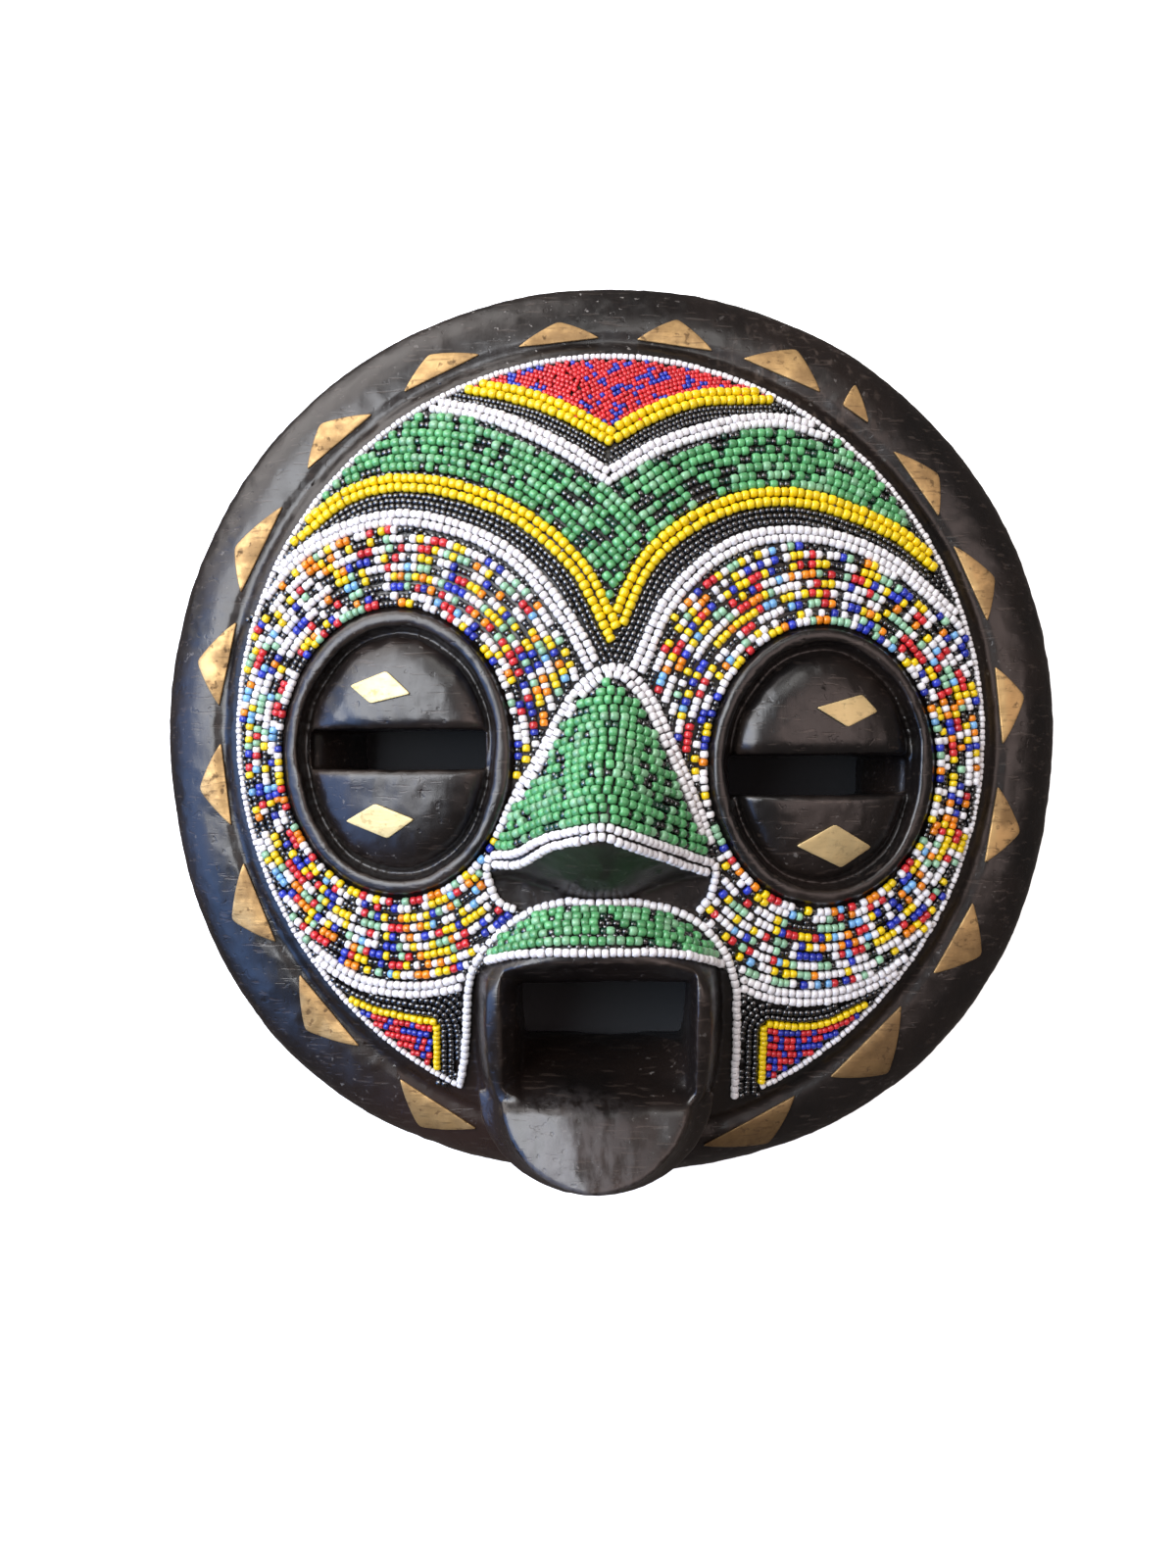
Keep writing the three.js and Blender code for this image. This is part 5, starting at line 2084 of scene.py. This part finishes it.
    def cheeks(self) -> None:
        """Fills the black bands and the red and blue corners beside the mouth."""
        lines, half_yellow = self.lines, 1.35
        angles = {
            "left": np.vstack([lines["angle_left"], lines["post_left"][1:]]),
            "right": np.vstack([lines["post_right"][::-1], lines["angle_right"][1:]]),
        }
        bands = {
            "left": ["cheek_left", "mouth_left", "-post_left", "-angle_left", "edge"],
            "right": ["cheek_right", "edge", "-angle_right", "post_right", "-mouth_right"],
        }
        corners = {
            "left": ["angle_left", "post_left", "edge"],
            "right": ["angle_right", "edge", "-post_right"],
        }
        for arm in ("left", "right"):
            base, row = extend(angles[arm], 8, 8), self.cheek_row
            self.work.rows("black_cheek_band_" + arm, base, half_yellow + row / 2, row, 6, CHEEK_BLACK,
                           self.outline(*bands[arm]))
            self.work.fill("black_cheek_band_" + arm, CHEEK_BLACK, self.outline(*bands[arm]))
            base, row = extend(lines["angle_" + arm], 8, 8), self.corner_row
            self.work.rows("red_blue_cheek_corner_" + arm, base, -half_yellow - row / 2, -row, 12, CHEEK_RED,
                           self.outline(*corners[arm]))


@dataclass
class BrassPlates:
    """The thin brass triangles on the rim and diamonds on the eyelids."""

    relief: Relief
    thickness: float = 0.9
    proud: float = 0.1
    bend: float = 0.03
    filing: int = 6
    # Each triangle's two inner corners and outer point, as degrees from the top and radius
    triangles: Tuple[Corners, ...] = (
        ((3.6, 130.9), (15.0, 131.3), (9.1, 139.8)), ((19.5, 131.9), (31.9, 132.9), (26.0, 142.5)),
        ((35.5, 133.5), (40.1, 134.2), (35.2, 142.6)), ((45.4, 132.8), (57.1, 131.0), (52.2, 139.7)),
        ((61.8, 130.2), (74.1, 131.2), (68.5, 138.9)), ((80.8, 130.5), (92.4, 131.4), (85.6, 139.6)),
        ((98.5, 131.2), (109.9, 133.2), (104.2, 142.4)), ((115.7, 134.7), (127.4, 135.8), (121.5, 146.7)),
        ((133.7, 134.7), (148.0, 138.2), (141.3, 149.7)), ((153.4, 137.9), (167.8, 143.7), (159.3, 150.4)),
        ((-161.4, 142.1), (-148.8, 137.6), (-154.2, 149.7)),
        ((-141.6, 136.4), (-128.2, 133.6), (-134.5, 145.0)),
        ((-122.5, 133.9), (-110.0, 131.7), (-116.7, 143.6)),
        ((-104.4, 132.0), (-92.1, 131.4), (-98.3, 140.5)),
        ((-86.8, 132.2), (-74.1, 131.1), (-80.8, 141.7)), ((-70.0, 132.8), (-55.9, 133.4), (-64.3, 141.2)),
        ((-49.7, 134.4), (-37.3, 132.8), (-43.7, 142.3)), ((-31.8, 132.9), (-19.4, 133.3), (-26.0, 140.4)),
        ((-13.9, 131.9), (-1.8, 131.3), (-7.4, 138.1)))
    # Each diamond's left, upper, right and lower corners
    diamonds: Dict[str, Corners] = field(default_factory=lambda: {
        "left_upper": ((-85.1, 13.1), (-72.9, 17.7), (-64.9, 10.2), (-78.1, 7.2)),
        "left_lower": ((-86.8, -30.8), (-76.6, -25.0), (-63.8, -30.1), (-72.7, -36.3)),
        "right_upper": ((65.3, 5.8), (80.6, 10.2), (85.9, 4.8), (75.7, -0.4)),
        "right_lower": ((58.9, -38.6), (71.6, -31.7), (84.3, -39.2), (74.2, -45.9))})

    def sheet(self, name: str, corners: Sequence[Array]) -> Solid:
        """A thin plate that lies on the wood.

        Args:
            name: the plate's name.
            corners: its corners in plan.

        Returns:
            The plate as a solid.
        """
        outline = self.round_corners(self.curve_edges(corners), corners[2] if len(corners) == 3 else None)
        middle = outline.mean(axis=0)
        shrink = [1.0, 1.0, 1.0, 0.985, 0.95, 0.8, 0.6, 0.4, 0.2]
        lift = np.array([-0.2, 0.3, 0.72, 0.93, 1, 1, 1, 1, 1]) * self.thickness
        points, faces, count = [], [], len(outline)
        for scale, height in zip(shrink, lift):
            ring = middle + (outline - middle) * scale
            points.append(np.column_stack([ring, self.relief.heights(ring) + self.proud + height]))
        top = self.relief.heights(middle[None])[0] + self.proud + self.thickness
        base = self.relief.heights(middle[None])[0] - 0.2
        points.append(np.array([[*middle, top], [*middle, base]]))
        last = len(shrink) * count
        for i in range(count):
            j = (i + 1) % count
            faces.append([i, last + 1, j])
            faces.append([last - count + i, last - count + j, last])
            for ring in range(len(shrink) - 1):
                low, high = ring * count, (ring + 1) * count
                faces.append([low + i, low + j, high + j, high + i])
        return Solid(name, np.vstack(points), faces)

    def curve_edges(self, corners: Array) -> Array:
        """A plate's outline, with a triangle's outer edges bent outwards.

        Args:
            corners: the plate's corners.

        Returns:
            The outline.
        """
        middle, parts = corners.mean(axis=0), []
        for i, (start, end) in enumerate(zip(corners, np.roll(corners, -1, axis=0))):
            edge = resample(np.vstack([start, end]), 0.6)[:-1]
            out = np.array([end[1] - start[1], start[0] - end[0]])
            out *= np.sign(np.dot(out, (start + end) / 2 - middle))
            bend = self.bend if len(corners) == 3 and i > 0 else 0.0
            t = np.linspace(0, 1, len(edge))[:, None]
            parts.append(edge + out * bend * 4 * t * (1 - t))
        return np.vstack(parts)

    def round_corners(self, outline: Array, outer: Array) -> Array:
        """Files an outline's corners a little, and a triangle's outer point more.

        Args:
            outline: the plate's outline.
            outer: a triangle's outer point, or None.

        Returns:
            The filed outline.
        """
        for turn in range(self.filing):
            filed = (np.roll(outline, 1, axis=0) + 2 * outline + np.roll(outline, -1, axis=0)) / 4
            share = 1.0 if turn < 2 else 0.0
            if outer is not None and turn >= 2:
                share = smooth(1.6 - np.linalg.norm(outline - outer, axis=1) / 5)[:, None]
            outline = blend(outline, filed, share)
        return outline

    def build(self) -> None:
        """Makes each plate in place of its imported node."""
        brass = TarnishedBrass().material()
        for i, corners in enumerate(self.triangles):
            degrees, radius = np.array(corners).T
            name = f"rim_triangle_{i + 1:02d}"
            sheet = self.sheet(name, np.column_stack(around(np.radians(degrees), radius)))
            to_piece(sheet, brass, "brass", "brass_" + name)
        for name, corners in self.diamonds.items():
            sheet = self.sheet("diamond_" + name, np.array(corners)[::-1])
            to_piece(sheet, brass, "brass", "brass_diamond_" + name)


@dataclass
class Studio:
    """The camera over the mask, the pale floor and the soft lights."""

    camera_at: Spot = (-0.008, -0.0187, 0.660)
    focal_pixels: float = 1928.0
    image_height: float = 1600.0
    sensor: float = 36.0
    aim: Spot = (0.0, 0.0, 0.03)
    floor_half: float = 1.5
    # Radius of the dark disc of painted shade on the floor under the mask
    shade_patch_radius: float = 0.126
    dim: Colour = (0.105, 0.091, 0.084)
    warm: Colour = (2.0, 1.55, 1.45)
    far_wall: Colour = (3.4, 3.2, 3.1)
    left_wall: Colour = (0.8, 1.45, 3.1)
    # Colour of that disc of painted shade
    under: Colour = (0.030, 0.034, 0.040)

    def light(self, name: str, at: Spot, size: float, power: float, colour: Colour) -> None:
        """One square soft light that faces the mask.

        Args:
            name: its name.
            at: its place.
            size: its side.
            power: watts.
            colour: its colour.
        """
        lamp = bpy.data.lights.new(name, "AREA")
        lamp.size, lamp.energy, lamp.color = size, power, colour
        holder = put_in_scene(name, lamp)
        holder.location = at
        holder.rotation_euler = (Vector(self.aim) - Vector(at)).to_track_quat("-Z", "Y").to_euler()

    def plane(self, name: str, corners: Array, height: float, **finish: object) -> bpy.types.Object:
        """A flat stage piece of one colour.

        Args:
            name: its name.
            corners: its outline in metres.
            height: its height in metres.
            finish: its shader's values.

        Returns:
            The object.
        """
        mesh = bpy.data.meshes.new(name)
        mesh.from_pydata([Vector((x, y, height)) for x, y in corners], [], [range(len(corners))])
        mesh.materials.append(Nodes(bpy.data.materials.new(name)).finish(**finish))
        piece = put_in_scene(name, mesh)
        return piece

    def floor(self) -> None:
        """The pale floor, which the dark wood doesn't mirror, and a dark patch of painted shade under the
        mask's hollow that keeps its openings dark.
        """
        square = self.floor_half * np.array([(-1, -1), (1, -1), (1, 1), (-1, 1)])
        self.plane("floor", square, 0.0, Base_Color=(0.90, 0.90, 0.90), Roughness=0.8,
                   Emission_Color=(1.0, 1.0, 1.0), Emission_Strength=0.9).visible_glossy = False
        # A dark disc of painted shade on the floor, hidden under the mask, seen only through its openings
        angle = np.arange(48) * math.pi / 24
        patch = self.shade_patch_radius * np.stack([np.cos(angle), np.sin(angle)], axis=1)
        self.plane("floor_under_mask", patch, 0.0002, Base_Color=self.under, Roughness=0.8)

    def sky(self) -> None:
        """A dim room with a pale wall beyond the mask's upper left and bluish light from its left."""
        world = bpy.data.worlds.new("room")
        nodes = Nodes(world, "Background")
        way = nodes.make("ShaderNodeTexCoord", {}, {}, "Generated")
        room = nodes.mix(nodes.near(way, (-0.62, 0.77, 0.15), 0.75), self.dim, self.far_wall)
        room = nodes.mix(nodes.near(way, (-0.86, -0.14, 0.38), 0.66), room, self.left_wall)
        room = nodes.mix(nodes.near(way, (0.50, 0.10, 0.86), 0.50), room, self.warm)
        nodes.finish(Color=room, Strength=1.0)
        bpy.context.scene.world = world

    def build(self) -> None:
        """Sets up the floor, the lights, the room and the camera."""
        self.floor()
        self.light("window", (-0.64, 0.30, 1.00), 0.92, 19.0, (0.94, 0.96, 1.0))
        self.light("lamp", (0.15, 0.85, 1.05), 0.45, 2.0, (1.0, 0.98, 0.95))
        self.sky()
        bpy.context.scene.view_settings.view_transform = "Standard"
        camera = bpy.data.cameras.new("camera")
        camera.sensor_width, camera.sensor_fit = self.sensor, "AUTO"
        camera.lens = self.focal_pixels / self.image_height * self.sensor
        holder = put_in_scene("camera", camera)
        holder.location = self.camera_at
        bpy.context.scene.camera = holder


def main() -> None:
    """Builds the mask and its studio."""
    logging.basicConfig(level=logging.INFO, format="%(message)s")
    carving = CarvedWood()
    wood = carving.carve()
    relief = Relief(wood)
    to_piece(wood, StainedWood().material(), "dark_wood", "mask_body").name = "carved_wood"
    work = Beadwork(relief, carving.disc)
    beads = FaceBeads(work)
    beads.outlines()
    beads.fields()
    work.finish()
    BrassPlates(relief).build()
    Studio().build()


if __name__ == "__main__":
    main()
